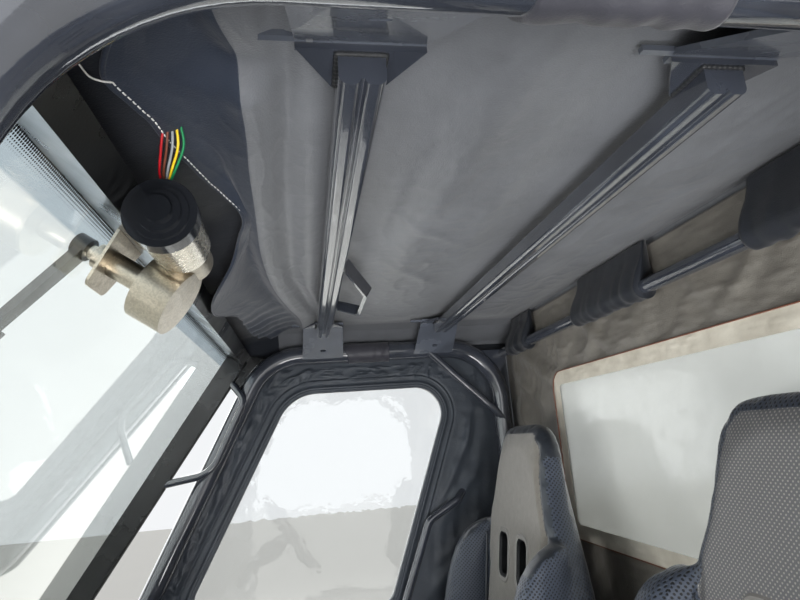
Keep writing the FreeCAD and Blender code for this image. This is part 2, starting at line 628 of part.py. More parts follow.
def rear_curtain():
    back = CURTAIN_X - CURTAIN / 2
    side = CURTAIN_HALF_WIDTH
    sheet = [(V(back, -side, CURTAIN_FOOT), 30), (V(back, side, CURTAIN_FOOT), 30),
             (V(back, side, CURTAIN_TOP - CANOPY_SIDE_DROP - 6), 12),
             (V(back, side - CANOPY_SHOULDER, CURTAIN_TOP), 60),
             (V(back, -side + CANOPY_SHOULDER, CURTAIN_TOP), 60),
             (V(back, -side, CURTAIN_TOP - CANOPY_SIDE_DROP - 6), 12)]
    hole = rear_window_outline(back - 1, 0)
    return slab(sheet, V(CURTAIN, 0, 0)).cut(slab(hole, V(CURTAIN + 2, 0, 0)))


def rear_window_outline(x, grow):
    half = REAR_WINDOW_HALF + grow
    low = REAR_WINDOW_FOOT - grow
    high = REAR_WINDOW_TOP + grow
    return [(V(x, y, z), 12 + grow) for y, z in ((-half, low), (half, low), (half, high), (-half, high))]


def rear_window():
    face = CURTAIN_X + CURTAIN / 2 + CLEAR
    return slab(rear_window_outline(face, REAR_WINDOW_STRIP - 4), V(FILM, 0, 0))


def rear_window_strip():
    face = CURTAIN_X + CURTAIN / 2 + FILM + 2 * CLEAR
    ring = slab(rear_window_outline(face, REAR_WINDOW_STRIP), V(FILM, 0, 0))
    return ring.cut(slab(rear_window_outline(face - 1, 0), V(FILM + 2, 0, 0)))


def door_edge_x(z):
    """The door's slanted front edge, which follows the front leg."""
    return RAIL_FRONT_X + (RAIL_Z - z) * LEG_SLOPE + DOOR_FRONT_LAP / math.cos(math.radians(FRONT_LEG_LEAN))


def door_skin():
    knee_x = KNEE_X + DOOR_FRONT_LAP
    knee_z = KNEE_Z + (door_edge_x(KNEE_Z) - knee_x) / LEG_SLOPE
    corners = ((DOOR_REAR_X, DOOR_FOOT, 60), (DOOR_REAR_X, DOOR_TOP, 130),
               (door_edge_x(DOOR_TOP), DOOR_TOP, 120),
               (knee_x, knee_z, 60), (knee_x, DOOR_FOOT, 40))
    panel = side_slab(corners, DOOR_INNER_Y, DOOR_INNER_Y + DOOR_THICK)
    return panel.cut(window_block(0, DOOR_INNER_Y - 1, DOOR_THICK + 2))


def window_block(grow, y, thick):
    """The door window's outline, grown by an offset and pushed outwards."""
    wire = outline([(V(x, y, z), radius) for x, z, radius in DOOR_WINDOW])
    if grow:
        wire = wire.makeOffset2D(grow)
    return Part.Face(wire).extrude(V(0, thick, 0))


def door_window():
    return window_block(-CLEAR, DOOR_INNER_Y + DOOR_THICK / 2, FILM * 2)


def door_rim():
    """Pressed channel round the window on the inside, with two ribs."""
    start = DOOR_INNER_Y - CLEAR - WINDOW_RIM
    ring = window_block(WINDOW_RIM_WIDTH, start + WINDOW_RIM / 2, WINDOW_RIM / 2)
    for grow_out, grow_in in ((WINDOW_RIM_WIDTH, WINDOW_RIM_WIDTH - 9), (16, 7)):
        rib = window_block(grow_out, start, WINDOW_RIM).cut(window_block(grow_in, start - 1, WINDOW_RIM + 2))
        ring = ring.fuse(rib)
    return ring.cut(window_block(0.01, start - 1, WINDOW_RIM + 2)).removeSplitter()


def door_fittings():
    """Hinge leaves and the bent grab bar inside the door."""
    solids = []
    for z in HINGES_Z:
        knuckle = rod(V(HINGE_X, HINGE_Y, z - KNUCKLE_HEIGHT / 2),
                      V(HINGE_X, HINGE_Y, z + KNUCKLE_HEIGHT / 2), KNUCKLE_R)
        edge_x = KNEE_X + DOOR_FRONT_LAP + CLEAR
        leaf = box((edge_x, DOOR_INNER_Y + 3, z - KNUCKLE_HEIGHT / 2),
                   (HINGE_X, DOOR_INNER_Y + 20, z + KNUCKLE_HEIGHT / 2))
        bore = rod(V(HINGE_X, HINGE_Y, z - KNUCKLE_HEIGHT), V(HINGE_X, HINGE_Y, z + KNUCKLE_HEIGHT),
                   HINGE_PIN_R + HINGE_RUNNING)
        solids.append(knuckle.fuse(leaf).cut(bore).removeSplitter())
    y = DOOR_INNER_Y - WINDOW_RIM - DOOR_BAR_TUBE / 2 - 2 * CLEAR
    points = [V(x, y, z) for x, z in DOOR_BAR]
    ends = [V(points[0].x - 20, DOOR_INNER_Y - CLEAR, points[0].z + 20)] + points
    ends.append(V(points[-1].x, DOOR_INNER_Y - CLEAR, points[-1].z - 45))
    solids.append(tube(ends, DOOR_BAR_TUBE, (12, 45, 60, 12)).cut(
        box((-700, DOOR_INNER_Y - CLEAR, 0), (700, DOOR_INNER_Y + 60, 1400))))
    return Part.Compound(solids)


def hinge_lugs():
    solids = []
    for side in (-1, 1):
        for z in HINGES_Z:
            parts = [rod(V(HINGE_X, HINGE_Y, z - KNUCKLE_HEIGHT / 2 - HINGE_LUG - 1.5),
                         V(HINGE_X, HINGE_Y, z + KNUCKLE_HEIGHT / 2 + HINGE_LUG + 1.5), HINGE_PIN_R)]
            for low in (z - KNUCKLE_HEIGHT / 2 - HINGE_LUG - 1, z + KNUCKLE_HEIGHT / 2 + 1):
                plate = [(V(KNEE_X + 12, HOOP_Y - 22, low), 0), (V(HINGE_X + KNUCKLE_R, HOOP_Y + 8, low), 10),
                         (V(HINGE_X + KNUCKLE_R, HINGE_Y + KNUCKLE_R, low), 8),
                         (V(HINGE_X - KNUCKLE_R, HINGE_Y + KNUCKLE_R, low), 8),
                         (V(HINGE_X - KNUCKLE_R, HOOP_Y + 25, low), 4), (V(KNEE_X, HOOP_Y + 22, low), 0)]
                parts.append(slab(plate, V(0, 0, HINGE_LUG)).cut(hoop_tube(HOOP_Y, CLEAR)))
            back = box((KNEE_X + TUBE_R + CLEAR, HOOP_Y - 8, z - KNUCKLE_HEIGHT / 2 - 4),
                       (KNEE_X + TUBE_R + 6, HOOP_Y + 8, z + KNUCKLE_HEIGHT / 2 + 4))
            parts.append(back)
            solids.append(on_side(joined(parts), side))
    return Part.Compound(solids)


def motor_axis_point(y):
    """A point on the wiper motor's axis, which lies across the vehicle behind the glass."""
    return on_screen(WIPER_DOWN - MOTOR_ABOVE, GLASS_IN - MOTOR_DEPTH, y)


def wiper_motor():
    start = motor_axis_point(MOTOR_FACE_Y - 8)
    can = rod(start, start - Y_AXIS * MOTOR_CAN_LENGTH, MOTOR_CAN_R)
    ends = [edge for edge in can.Edges if isinstance(edge.Curve, Part.Circle)]
    return can.makeFillet(3.0, ends)


def wiper_cap():
    """Moulded end cap with stepped rings, turned about the motor's axis."""
    back = MOTOR_FACE_Y - 8 + CLEAR
    steps = ((MOTOR_CAP_R, 6.0), (25.0, 2.5), (19.0, 4.0), (12.0, 5.0))   # radius of each step, its height
    solids = []
    reach = back
    base = motor_axis_point(back)
    skirt = rod(motor_axis_point(back - 12), motor_axis_point(back + 6), MOTOR_CAP_R)
    skirt = skirt.cut(rod(motor_axis_point(back - 13), base, MOTOR_CAN_R + CLEAR))
    solids.append(skirt)
    for radius, height in steps:
        solids.append(rod(motor_axis_point(reach), motor_axis_point(reach + height + 1), radius))
        reach = reach + height
    return joined(solids)


def wiper_gear():
    """Gear housing, its output boss through the glass, and the mounting plate to the frame's top bar."""
    inner = GLASS_IN - MOTOR_DEPTH - GEAR_THICK / 2
    outer = inner + GEAR_THICK
    housing = rod(on_screen(WIPER_DOWN, inner, WIPER_Y), on_screen(WIPER_DOWN, outer, WIPER_Y), GEAR_R)
    neck_start = motor_axis_point(MOTOR_FACE_Y - 8 - MOTOR_CAN_LENGTH - CLEAR)
    neck = rod(neck_start, motor_axis_point(WIPER_Y - 8), 24)
    boss = rod(on_screen(WIPER_DOWN, outer - 1, WIPER_Y),
               on_screen(WIPER_DOWN, GLASS_IN - CLEAR, WIPER_Y), 14)
    collar = rod(on_screen(WIPER_DOWN, 0, WIPER_Y), on_screen(WIPER_DOWN, GLASS_OUT + 6, WIPER_Y),
                 WIPER_SHAFT_R + 3)
    plate_corners = [(on_screen(SCREEN_BAR_WIDTH + CLEAR, 6, WIPER_Y - 40), 0),
                     (on_screen(WIPER_DOWN + 34, 6, WIPER_Y - 26), 10),
                     (on_screen(WIPER_DOWN + 34, 6, WIPER_Y + 26), 10),
                     (on_screen(SCREEN_BAR_WIDTH + CLEAR, 6, WIPER_Y + 40), 0)]
    plate = slab(plate_corners, OUT_SCREEN * 3)
    whole = joined([housing, neck, boss, collar, plate])
    bore = rod(on_screen(WIPER_DOWN, 0, WIPER_Y), on_screen(WIPER_DOWN, GLASS_OUT + 20, WIPER_Y),
               WIPER_SHAFT_R + 0.05)
    return whole.cut(bore)


def wiper_turn(shape):
    """Swings a piece drawn straight down the glass to the wiper's rest."""
    shape.rotate(on_screen(WIPER_DOWN, 0, WIPER_Y), OUT_SCREEN, WIPER_REST)
    return shape


def wiper_arm():
    shaft = rod(on_screen(WIPER_DOWN, 2, WIPER_Y), on_screen(WIPER_DOWN, GLASS_OUT + 22, WIPER_Y),
                WIPER_SHAFT_R)
    head = rod(on_screen(WIPER_DOWN, GLASS_OUT + 8, WIPER_Y),
               on_screen(WIPER_DOWN, GLASS_OUT + 24, WIPER_Y), 13)
    start = GLASS_OUT + 10
    corners = [(on_screen(WIPER_DOWN, start, WIPER_Y - 10), 0),
               (on_screen(WIPER_DOWN + WIPER_ARM_LENGTH, start, WIPER_Y - 5), 0),
               (on_screen(WIPER_DOWN + WIPER_ARM_LENGTH, start, WIPER_Y + 5), 0),
               (on_screen(WIPER_DOWN, start, WIPER_Y + 10), 0)]
    beam = slab(corners, OUT_SCREEN * 9)
    return wiper_turn(joined([shaft, head, beam]))


def wiper_blade():
    """Spine with a rubber lip whose edge stands just off the glass."""
    middle = WIPER_DOWN + WIPER_ARM_LENGTH
    half = WIPER_BLADE_LENGTH / 2
    profile = [(-7, 9.7), (7, 9.7), (7, 6), (1.5, 4.5), (1.5, 1), (-1.5, 1), (-1.5, 4.5), (-7, 6)]
    placed = [(on_screen(middle - half, GLASS_OUT + out, WIPER_Y + y), 0) for y, out in profile]
    return wiper_turn(slab(placed, DOWN_SCREEN * WIPER_BLADE_LENGTH))


def wiper_leads():
    """Five leads from the motor's end, up to where the canopy hides them."""
    solids = []
    for name, offset in LEADS:
        start = motor_axis_point(MOTOR_FACE_Y - 22 - offset) + V(0, 0, MOTOR_CAN_R + CLEAR)
        lean = offset * 0.4
        end_x = start.x + lean - 11
        rise = canopy_under(end_x + LEAD_D / 2) - 2 * CLEAR - start.z
        points = [start, start + V(-6, 3, rise * 0.55), V(end_x, start.y + 4, start.z + rise)]
        solids.append(tube(points, LEAD_D, (30,)))
    return Part.Compound(solids)


def canopy_under(x):
    """Height of the canopy's inner face along its front slope."""
    front = screen_top_corner()
    top = CANOPY_TOP - CANOPY_WALL
    share = (x - CANOPY_BREAK_X) / (front.x - CANOPY_WALL - CANOPY_BREAK_X)
    return top + (front.z + CLEAR - top) * max(share, 0.0)


def place_back(shape, side, face_x, top):
    """Leans a seat back drawn upright at the origin and moves it to its seat."""
    shape.rotate(V(0, 0, 0), Y_AXIS, -BACK_RECLINE)
    shape.translate(V(face_x, side * SEAT_Y, top))
    return shape


def seat_back(side, face_x, top):
    """High back with a rounded head, wider shoulders, side wings and two harness slots."""
    # y and drop, from the head down
    half = [(122, -52), (168, -142), (198, -207), (250, -380), (232, -BACK_HEIGHT)]
    right = [V(0, -y, z) for y, z in half]
    left = [V(0, y, z) for y, z in half]
    edges = [
        Part.Arc(left[0], V(0, 0, 0), right[0]).toShape(),
        Part.Arc(right[0], V(0, -150, -95), right[1]).toShape(),
        Part.LineSegment(right[1], right[2]).toShape(),
        Part.Arc(right[2], V(0, -236, -290), right[3]).toShape(),
        Part.LineSegment(right[3], right[4]).toShape(),
        Part.LineSegment(right[4], left[4]).toShape(),
        Part.LineSegment(left[4], left[3]).toShape(),
        Part.Arc(left[3], V(0, 236, -290), left[2]).toShape(),
        Part.LineSegment(left[2], left[1]).toShape(),
        Part.Arc(left[1], V(0, 150, -95), left[0]).toShape(),
    ]
    shell = Part.Face(Part.Wire(edges)).extrude(V(-BACK_THICK, 0, 0))
    taper = ((5, 5, 0), (5, -BACK_HEIGHT - 5, 0), (-BACK_THICK, -BACK_HEIGHT - 5, 0), (-HEAD_THICK, 5, 12))
    shell = shell.common(side_slab(taper, -300, 300))
    solids = [shell]
    for hand in (-1, 1):
        wing_side = ((-20, -WING_DROP, 0), (30, -WING_DROP - 37, 40), (WING_FORWARD, -WING_DROP - 155, 60),
                     (WING_FORWARD, -WING_FOOT + 90, 60), (20, -WING_FOOT, 0), (-20, -WING_FOOT, 0))
        wing = side_slab(wing_side, hand * WING_INNER_Y, hand * 234)
        solids.append(wing)
    body = joined(solids)
    for hand in (-1, 1):
        y = hand * HARNESS_SLOT_SPREAD / 2
        low = -HARNESS_SLOT_DROP - HARNESS_SLOT_HEIGHT
        slot = [(V(10, y - HARNESS_SLOT_WIDTH / 2, low), 14), (V(10, y + HARNESS_SLOT_WIDTH / 2, low), 14),
                (V(10, y + HARNESS_SLOT_WIDTH / 2, -HARNESS_SLOT_DROP), 14),
                (V(10, y - HARNESS_SLOT_WIDTH / 2, -HARNESS_SLOT_DROP), 14)]
        body = body.cut(slab(slot, V(-BACK_THICK - 20, 0, 0)))
    return place_back(body, side, face_x, top)


def back_face_x(face_x, top, z):
    """Where the leaning seat back's face is at a height."""
    return face_x + (top - z) * math.tan(math.radians(BACK_RECLINE))


def seat_cushion(side, face_x, top):
    rear = back_face_x(face_x, top, CUSHION_TOP) + 2 * CLEAR
    front = rear + CUSHION_LENGTH
    y = side * SEAT_Y
    low_z = CUSHION_TOP - CUSHION_THICK
    foot = back_face_x(face_x, top, low_z) + 2 * CLEAR
    profile = ((foot, low_z, 0), (rear, CUSHION_TOP, 20), (front, CUSHION_TOP + 10, 45), (front, low_z, 30))
    return side_slab(profile, y - CUSHION_WIDTH / 2, y + CUSHION_WIDTH / 2)


def seat_rails():
    solids = []
    for name, side, face_x, top in SEATS:
        middle = SEAT_RAIL_MIDDLE_X
        for hand in (-1, 1):
            y = side * SEAT_Y + hand * SEAT_RAIL_SPREAD / 2
            low = (middle - SEAT_RAIL_LENGTH / 2, y - SEAT_RAIL_WIDTH / 2, SEAT_BOX_TOP + CLEAR)
            high = (middle + SEAT_RAIL_LENGTH / 2, y + SEAT_RAIL_WIDTH / 2,
                    CUSHION_TOP - CUSHION_THICK - CLEAR)
            solids.append(box(low, high))
    return Part.Compound(solids)


def dash_profile():
    return ((COWL_FRONT_X, COWL_Z, 6), (COWL_SHELF_X, COWL_Z, 40),
            (DASH_TOP_X, COWL_Z + DASH_TOP_RISE, 60), (DASH_NOSE_X, COWL_Z + 10, 30),
            (DASH_FOOT_X, DASH_FOOT_Z, 12), (DASH_FOOT_X + 40, DASH_FOOT_Z, 0), (COWL_FRONT_X,
                                                                                 COWL_Z - 40, 0))


def dashboard():
    wire = outline([(V(x, -CABIN_HALF, z), radius) for x, z, radius in dash_profile()])
    outer = Part.Face(wire).extrude(V(0, CABIN_WIDTH, 0))
    inner_wire = wire.makeOffset2D(-MOULDING)
    inner = Part.Face(inner_wire).extrude(V(0, CABIN_WIDTH - 2 * MOULDING, 0))
    inner.translate(V(0, MOULDING, 0))
    mouth = ((DASH_FOOT_X + 10, DASH_FOOT_Z - 30, 0), (DASH_FOOT_X + 40, DASH_FOOT_Z - 30, 0),
             (COWL_FRONT_X - MOULDING, COWL_Z - 90, 0),
             (COWL_FRONT_X - MOULDING, COWL_Z - 30, 0), (DASH_FOOT_X + 40, DASH_FOOT_Z + 30, 0),
                                                        (DASH_FOOT_X + 10, DASH_FOOT_Z + 30, 0))
    shell = outer.cut(inner).cut(side_slab(mouth, -CABIN_HALF + MOULDING, CABIN_HALF - MOULDING))
    hole = rod(WHEEL_CENTRE, WHEEL_CENTRE + COLUMN_AXIS * 400, COLUMN_R + CLEAR)
    return shell.cut(hole)


def steering_column():
    """Fixed jacket round the shaft, with a wider pod under the wheel and a flange to the dash."""
    jacket = rod(WHEEL_CENTRE + COLUMN_AXIS * 42, WHEEL_CENTRE + COLUMN_AXIS * COLUMN_LENGTH, COLUMN_R)
    pod = rod(WHEEL_CENTRE + COLUMN_AXIS * 60, WHEEL_CENTRE + COLUMN_AXIS * 120, COLUMN_R + 12)
    bore = rod(WHEEL_CENTRE, WHEEL_CENTRE + COLUMN_AXIS * (COLUMN_LENGTH + 1),
               STEERING_SHAFT_R + SHAFT_RUNNING)
    return joined([jacket, pod]).cut(bore)


def steering_shaft():
    """Turns with the wheel and ends ahead of the bulkhead in a stub for the steering gear's coupling."""
    reach = (BULKHEAD_X + SHEET - WHEEL_CENTRE.x) / COLUMN_AXIS.x + SHAFT_BEYOND
    shoulder = WHEEL_CENTRE + COLUMN_AXIS * (reach - STUB_LENGTH)
    shaft = rod(WHEEL_CENTRE + COLUMN_AXIS * (36 + CLEAR), shoulder, STEERING_SHAFT_R)
    stub = rod(shoulder - COLUMN_AXIS, WHEEL_CENTRE + COLUMN_AXIS * reach, STUB_R)
    return joined([shaft, stub])


def steering_wheel():
    ring = Part.makeTorus(WHEEL_R, WHEEL_GRIP_R, WHEEL_CENTRE, COLUMN_AXIS)
    hub = rod(WHEEL_CENTRE - COLUMN_AXIS * 2, WHEEL_CENTRE + COLUMN_AXIS * 36, 34)
    solids = [ring, hub]
    across = Y_AXIS
    up = COLUMN_AXIS.cross(across)
    for angle in (0, 180, 270):
        turned = across * math.cos(math.radians(angle)) + up * math.sin(math.radians(angle))
        start = WHEEL_CENTRE + COLUMN_AXIS * 14 + turned * 20
        end = WHEEL_CENTRE + turned * WHEEL_R
        solids.append(rod(start, end, 8))
    return joined(solids)


def pedals():
    solids = []
    for y in PEDALS_Y:
        pad = side_slab(((455, 200, 0), (461, 196, 0), (511, 270, 0), (505, 274, 0)), y - 32, y + 32)
        arm = tube([V(498, y, 250), V(540, y, 330), V(BULKHEAD_X - 15, y, 450)], 14, (60,))
        pivot = box((BULKHEAD_X - 30, y - 20, 440), (BULKHEAD_X - CLEAR, y + 20, 500))
        solids.append(joined([pad, arm, pivot]))
    return Part.Compound(solids)


def nodes():
    """Every piece by its node's name."""
    made = {
        "base_frame": base_frame(),
        "floor_pan": floor_pan(),
        "front_bulkhead": bulkhead(),
        "rear_panel": rear_panel(),
        "seat_box": seat_box(),
        "member_brackets": member_brackets(),
        "rear_crossbar": rear_crossbar(),
        "bar_wraps": bar_wraps(),
        "windscreen_frame": windscreen_frame(),
        "windscreen_glass": windscreen_glass(),
        "windscreen_handles": windscreen_handles(),
        "wiper_motor": wiper_motor(),
        "wiper_cap": wiper_cap(),
        "wiper_gear": wiper_gear(),
        "wiper_leads": wiper_leads(),
        "wiper_arm": wiper_arm(),
        "wiper_blade": wiper_blade(),
        "roof_canopy": roof_canopy(),
        "roof_grab_handle": roof_grab_handle(),
        "rear_curtain": rear_curtain(),
        "rear_window": rear_window(),
        "rear_window_strip": rear_window_strip(),
        "seat_rails": seat_rails(),
        "dashboard": dashboard(),
        "steering_column": steering_column(),
        "steering_wheel": steering_wheel(),
        "steering_shaft": steering_shaft(),
        "pedals": pedals(),
        "hinge_lugs": hinge_lugs(),
    }
    for name, x in MEMBERS:
        made[name] = cross_member(x)
    for name, side in (("left", 1), ("right", -1)):
        made["hoop_" + name] = hoop(side)
    for name, side, face_x, top in SEATS:
        made["seat_back_" + name] = seat_back(side, face_x, top)
        made["seat_cushion_" + name] = seat_cushion(side, face_x, top)
    for name, side, angle in DOORS:
        for piece, shape in (("skin", door_skin()), ("window", door_window()), ("rim", door_rim()),
                             ("fittings", door_fittings())):
            placed = on_side(shape, side)
            placed.rotate(V(HINGE_X, side * HINGE_Y, 0), Z_AXIS, -side * angle)
            made["door_%s_%s" % (piece, name)] = placed
    return made


os.makedirs("parts", exist_ok=True)
for node, shape in nodes().items():
    shape.exportStep("parts/%s.step" % node)
    print(node, len(shape.Solids), "valid" if shape.isValid() else "NOT VALID", round(shape.Volume / 1000, 1))
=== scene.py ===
import bmesh
import bpy
import numpy as np
from bpy.props import FloatProperty, FloatVectorProperty, IntProperty, PointerProperty
from mathutils import Matrix, Vector


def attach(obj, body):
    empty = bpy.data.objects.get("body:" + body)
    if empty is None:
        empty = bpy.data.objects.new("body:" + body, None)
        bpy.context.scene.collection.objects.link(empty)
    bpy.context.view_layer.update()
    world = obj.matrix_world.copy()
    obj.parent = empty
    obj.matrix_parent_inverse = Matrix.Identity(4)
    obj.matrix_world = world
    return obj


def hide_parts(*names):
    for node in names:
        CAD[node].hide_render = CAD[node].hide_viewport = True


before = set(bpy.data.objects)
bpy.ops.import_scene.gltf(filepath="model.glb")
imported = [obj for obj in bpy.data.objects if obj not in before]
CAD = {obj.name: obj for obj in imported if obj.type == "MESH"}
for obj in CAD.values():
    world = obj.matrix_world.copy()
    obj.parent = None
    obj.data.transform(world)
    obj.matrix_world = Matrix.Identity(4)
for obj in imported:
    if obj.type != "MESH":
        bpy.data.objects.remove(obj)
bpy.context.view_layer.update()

bl_info = {
    "name": "Soft-top utility cab",
    "version": (1, 0, 0),
    "blender": (4, 5, 0),
    "location": "3D View > Sidebar > Cab",
    "description": "Dresses the packed cab of a side by side utility vehicle in paint, vinyl, film and trim",
    "category": "Object",
}

# Sizes of the CAD model, in metres: +X forward, +Y to the vehicle's left, +Z up.
RAIL_Z = 1.340              # centreline of the side hoops' top rail
HOOP_Y = 0.668
TUBE_R = 0.025
HOOP_BEND = 0.170           # how far a bend of the rail reaches from its corner
REAR_LEG_X = -0.546
RAIL_FRONT_X = 0.089
LEG_SLOPE = np.tan(np.radians(26.4))
KNEE_X = RAIL_FRONT_X + 0.640 * LEG_SLOPE
KNEE_Z = 0.700
SCREEN_TOP = np.array((0.149, 0.0, 1.358))
SCREEN_LEAN = np.radians(33.5)
DOWN_SCREEN = np.array((np.sin(SCREEN_LEAN), 0.0, -np.cos(SCREEN_LEAN)))
OUT_SCREEN = np.array((np.cos(SCREEN_LEAN), 0.0, np.sin(SCREEN_LEAN)))
SCREEN_LENGTH = 0.797
MEMBERS_X = (-0.060, -0.360)
GUSSET_WELD = (0.0185, 0.487, 0.5285, 1.3868)   # half width, inner and outer y, height
CANOPY_TOP = 1.408
CANOPY_HALF = 0.710
CANOPY_HEM = 1.336
CANOPY_REAR = -0.595
CANOPY_BREAK = 0.040                 # where the roof starts to fall to the windscreen
CANOPY_FRONT = (0.168, 1.375)        # x and height of the front hem
HEADER_CHANGE = 0.055                # where the roof's inner face turns near black, as painted shade
ROOF_WIDTH = 1.576                   # of the roof cloth laid flat, from hem to hem
FLAP_WIDTH = 1.200
STITCHED = (0.245, 0.498)            # y where the flap's stitches show
REAR_BAR = (-0.565, 1.320)           # x and z of the crossbar
WRAPS = ((0.297, 0.552), (-0.184, 0.057), (-0.588, -0.463))   # y of each sleeve's ends
CURTAIN_X = -0.588
CURTAIN_OUTLINE = ((-0.700, 0.622, 0.03), (0.700, 0.622, 0.03), (0.700, 1.340, 0.012), (0.606, 1.394, 0.06),
                   (-0.606, 1.394, 0.06), (-0.700, 1.340, 0.012))   # y, z, radius
DOOR_INNER_Y = 0.699
DOOR_THICK = 0.026
DOOR_WINDOW = ((-0.412, 1.240, 0.070), (0.027, 1.240, 0.110), (0.313, 0.690, 0.060),
               (-0.204, 0.690, 0.060))       # x, z, radius
DOOR_LAP = 0.025                     # the door's edge runs this far ahead of the front leg
DOOR_REAR = -0.560
DOOR_TOP = 1.330
DOOR_FOOT = 0.100
DOOR_CORNER = 0.130                  # radius of the rear upper corner
DOOR_GAP = 0.006                     # between the door and the curtain's side hem
DOOR_RIB_PITCH = 0.0060
DOOR_TOP_STRIP = (1.262, 1.312)      # lower and upper edge of the wrinkled strip
DOOR_LOW_SEAM = 0.628
HINGE = (0.449999, 0.712)
LEFT_DOOR_TURN = np.radians(-85.0)
REAR_WINDOW = ((-0.363, 0.897, 0.012), (0.363, 0.897, 0.012), (0.363, 1.200, 0.012),
               (-0.363, 1.200, 0.012))       # y, z, radius
TAPE_WIDTH = 0.0295
SEATS = (("left", 1, -0.524, 1.124), ("right", -1, -0.463, 1.112))   # name, side, x of head's face, top
SEAT_Y = 0.340
RECLINE = np.radians(8.0)
CUSHION_TOP = 0.440
PANEL_TOP = -0.014                   # top edge of the centre panel, below the back's own top
SLOT_Y = 0.0545                      # middle of a harness slot, from the seat's middle
SLOT_Z = -0.267
SLOT = (0.026, 0.044, 0.016)         # half width, half height, corner radius
MOTOR_FACE_Y = 0.402
MOTOR_AXIS = (0.014, -0.056)         # down the windscreen's slope, and out of it
LEAD_PITCH = 0.004
LEAD_END_Z = 1.3875
LEADS = (("green", "0f7a4a"), ("yellow", "e8c522"), ("grey", "8f9498"), ("brown", "6b3a2a"), ("red", "b01620"))

# The photograph's viewpoint, and the soft boxes: name, place, target, width, height, share of the
# lamps' power, spread in degrees, and whether paint and glass mirror it.
CAMERA_PLACE = (-0.010, 0.9015, 1.1095)
CAMERA_YAW, CAMERA_PITCH, CAMERA_ROLL = np.radians((9.857, 13.255, 4.3))
SOFT_BOXES = (
    ("left_box", (-0.3, 3.2, 2.2), (0.0, 0.0, 0.9), 2.6, 1.8, 1.0, 180, False),
    ("right_box", (0.4, -3.2, 2.4), (0.0, 0.0, 0.8), 2.6, 1.8, 0.8, 180, True),
    ("front_box", (3.4, 0.6, 2.4), (0.0, 0.0, 0.8), 2.4, 1.6, 0.8, 180, True),
    ("doorway_box", (0.05, 1.95, 0.45), (-0.36, 0.0, 1.36), 1.2, 0.7, 0.36, 95, False),
    ("sill_box", (0.0, 1.12, 0.13), (-0.25, -0.1, 1.36), 1.1, 0.26, 0.13, 110, True),
    ("through_screen_box", (0.34, -0.10, 0.86), (-0.58, 0.0, 1.16), 0.9, 0.3, 0.034, 95, False))


def on_screen(down, out, y):
    """A point from its place down the windscreen's slope, out of it and across it."""
    return SCREEN_TOP + DOWN_SCREEN * down + OUT_SCREEN * out + np.array((0.0, y, 0.0))


def linear(code):
    """An sRGB hex colour as linear red, green, blue and alpha."""
    share = np.array([int(code[i:i + 2], 16) for i in (0, 2, 4)]) / 255
    light = np.where(share <= 0.04045, share / 12.92, ((share + 0.055) / 1.055) ** 2.4)
    return (*light.tolist(), 1.0)


# Settings that a user would change

class StageSettings(bpy.types.PropertyGroup):
    lens: FloatProperty(name="Lens", description="Focal length on a 36 mm sensor", default=26.1, min=10,
                        subtype="DISTANCE_CAMERA")
    sky: FloatProperty(name="Sky light", description="Strength of the even light all round", default=1.15, min=0)
    shine: FloatProperty(name="Sky in reflections", description="How much brighter the sky looks in paint and plating",
                         default=2.6, min=1)
    lamps: FloatProperty(name="Soft boxes", description="Power of each soft box in watts", default=48.0, min=0,
                         subtype="POWER")
    floor: FloatVectorProperty(name="Floor", description="Colour of the floor", size=4, min=0, max=1,
                               default=linear("b3b1ac"), subtype="COLOR")


class MetalSettings(bpy.types.PropertyGroup):
    cage: FloatVectorProperty(name="Cage paint", description="Gloss paint of hoops, members and bars", size=4, min=0,
                              max=1, default=linear("2a2d34"), subtype="COLOR")
    screen_frame: FloatVectorProperty(name="Windscreen frame", description="Satin paint of the windscreen frame",
                                      size=4, min=0, max=1, default=linear("0b0c0d"), subtype="COLOR")
    weld: FloatProperty(name="Weld bead", description="Radius of the weld beads on gussets and members", default=0.0023,
                        min=0.001, max=0.004, subtype="DISTANCE", unit="LENGTH")


class CanopySettings(bpy.types.PropertyGroup):
    colour: FloatVectorProperty(name="Roof vinyl", description="Inside face of the roof", size=4, min=0, max=1,
                                default=linear("5c5e62"), subtype="COLOR")
    sag: FloatProperty(name="Sag", description="How far the cloth hangs between the roof members", default=0.009,
                       min=0, max=0.014, subtype="DISTANCE", unit="LENGTH")
    crinkle: FloatProperty(name="Crinkles", description="Height of the small creases", default=0.0016, min=0,
                           max=0.004, subtype="DISTANCE", unit="LENGTH")


class DoorSettings(bpy.types.PropertyGroup):
    colour: FloatVectorProperty(name="Door vinyl", description="Both faces of the doors", size=4, min=0, max=1,
                                default=linear("363b42"), subtype="COLOR")
    rib: FloatProperty(name="Rib height", description="Height of the sewn ribs round the window", default=0.0016,
                       min=0, max=0.004, subtype="DISTANCE", unit="LENGTH")


class SeatSettings(bpy.types.PropertyGroup):
    panel: FloatVectorProperty(name="Centre panel", description="Brushed cloth on the seats' faces", size=4, min=0,
                               max=1, default=linear("69665f"), subtype="COLOR")
    vinyl: FloatVectorProperty(name="Seat vinyl", description="Smooth borders and wings", size=4, min=0, max=1,
                               default=linear("24282e"), subtype="COLOR")
    swell: FloatProperty(name="Swell", description="Furthest that the stuffing pushes the cover out", default=0.012,
                         min=0.002, max=0.03, subtype="DISTANCE", unit="LENGTH")
    frames: IntProperty(name="Frames", description="Length of the cloth simulation", default=8, min=2, max=40)


# Numbers to surfaces

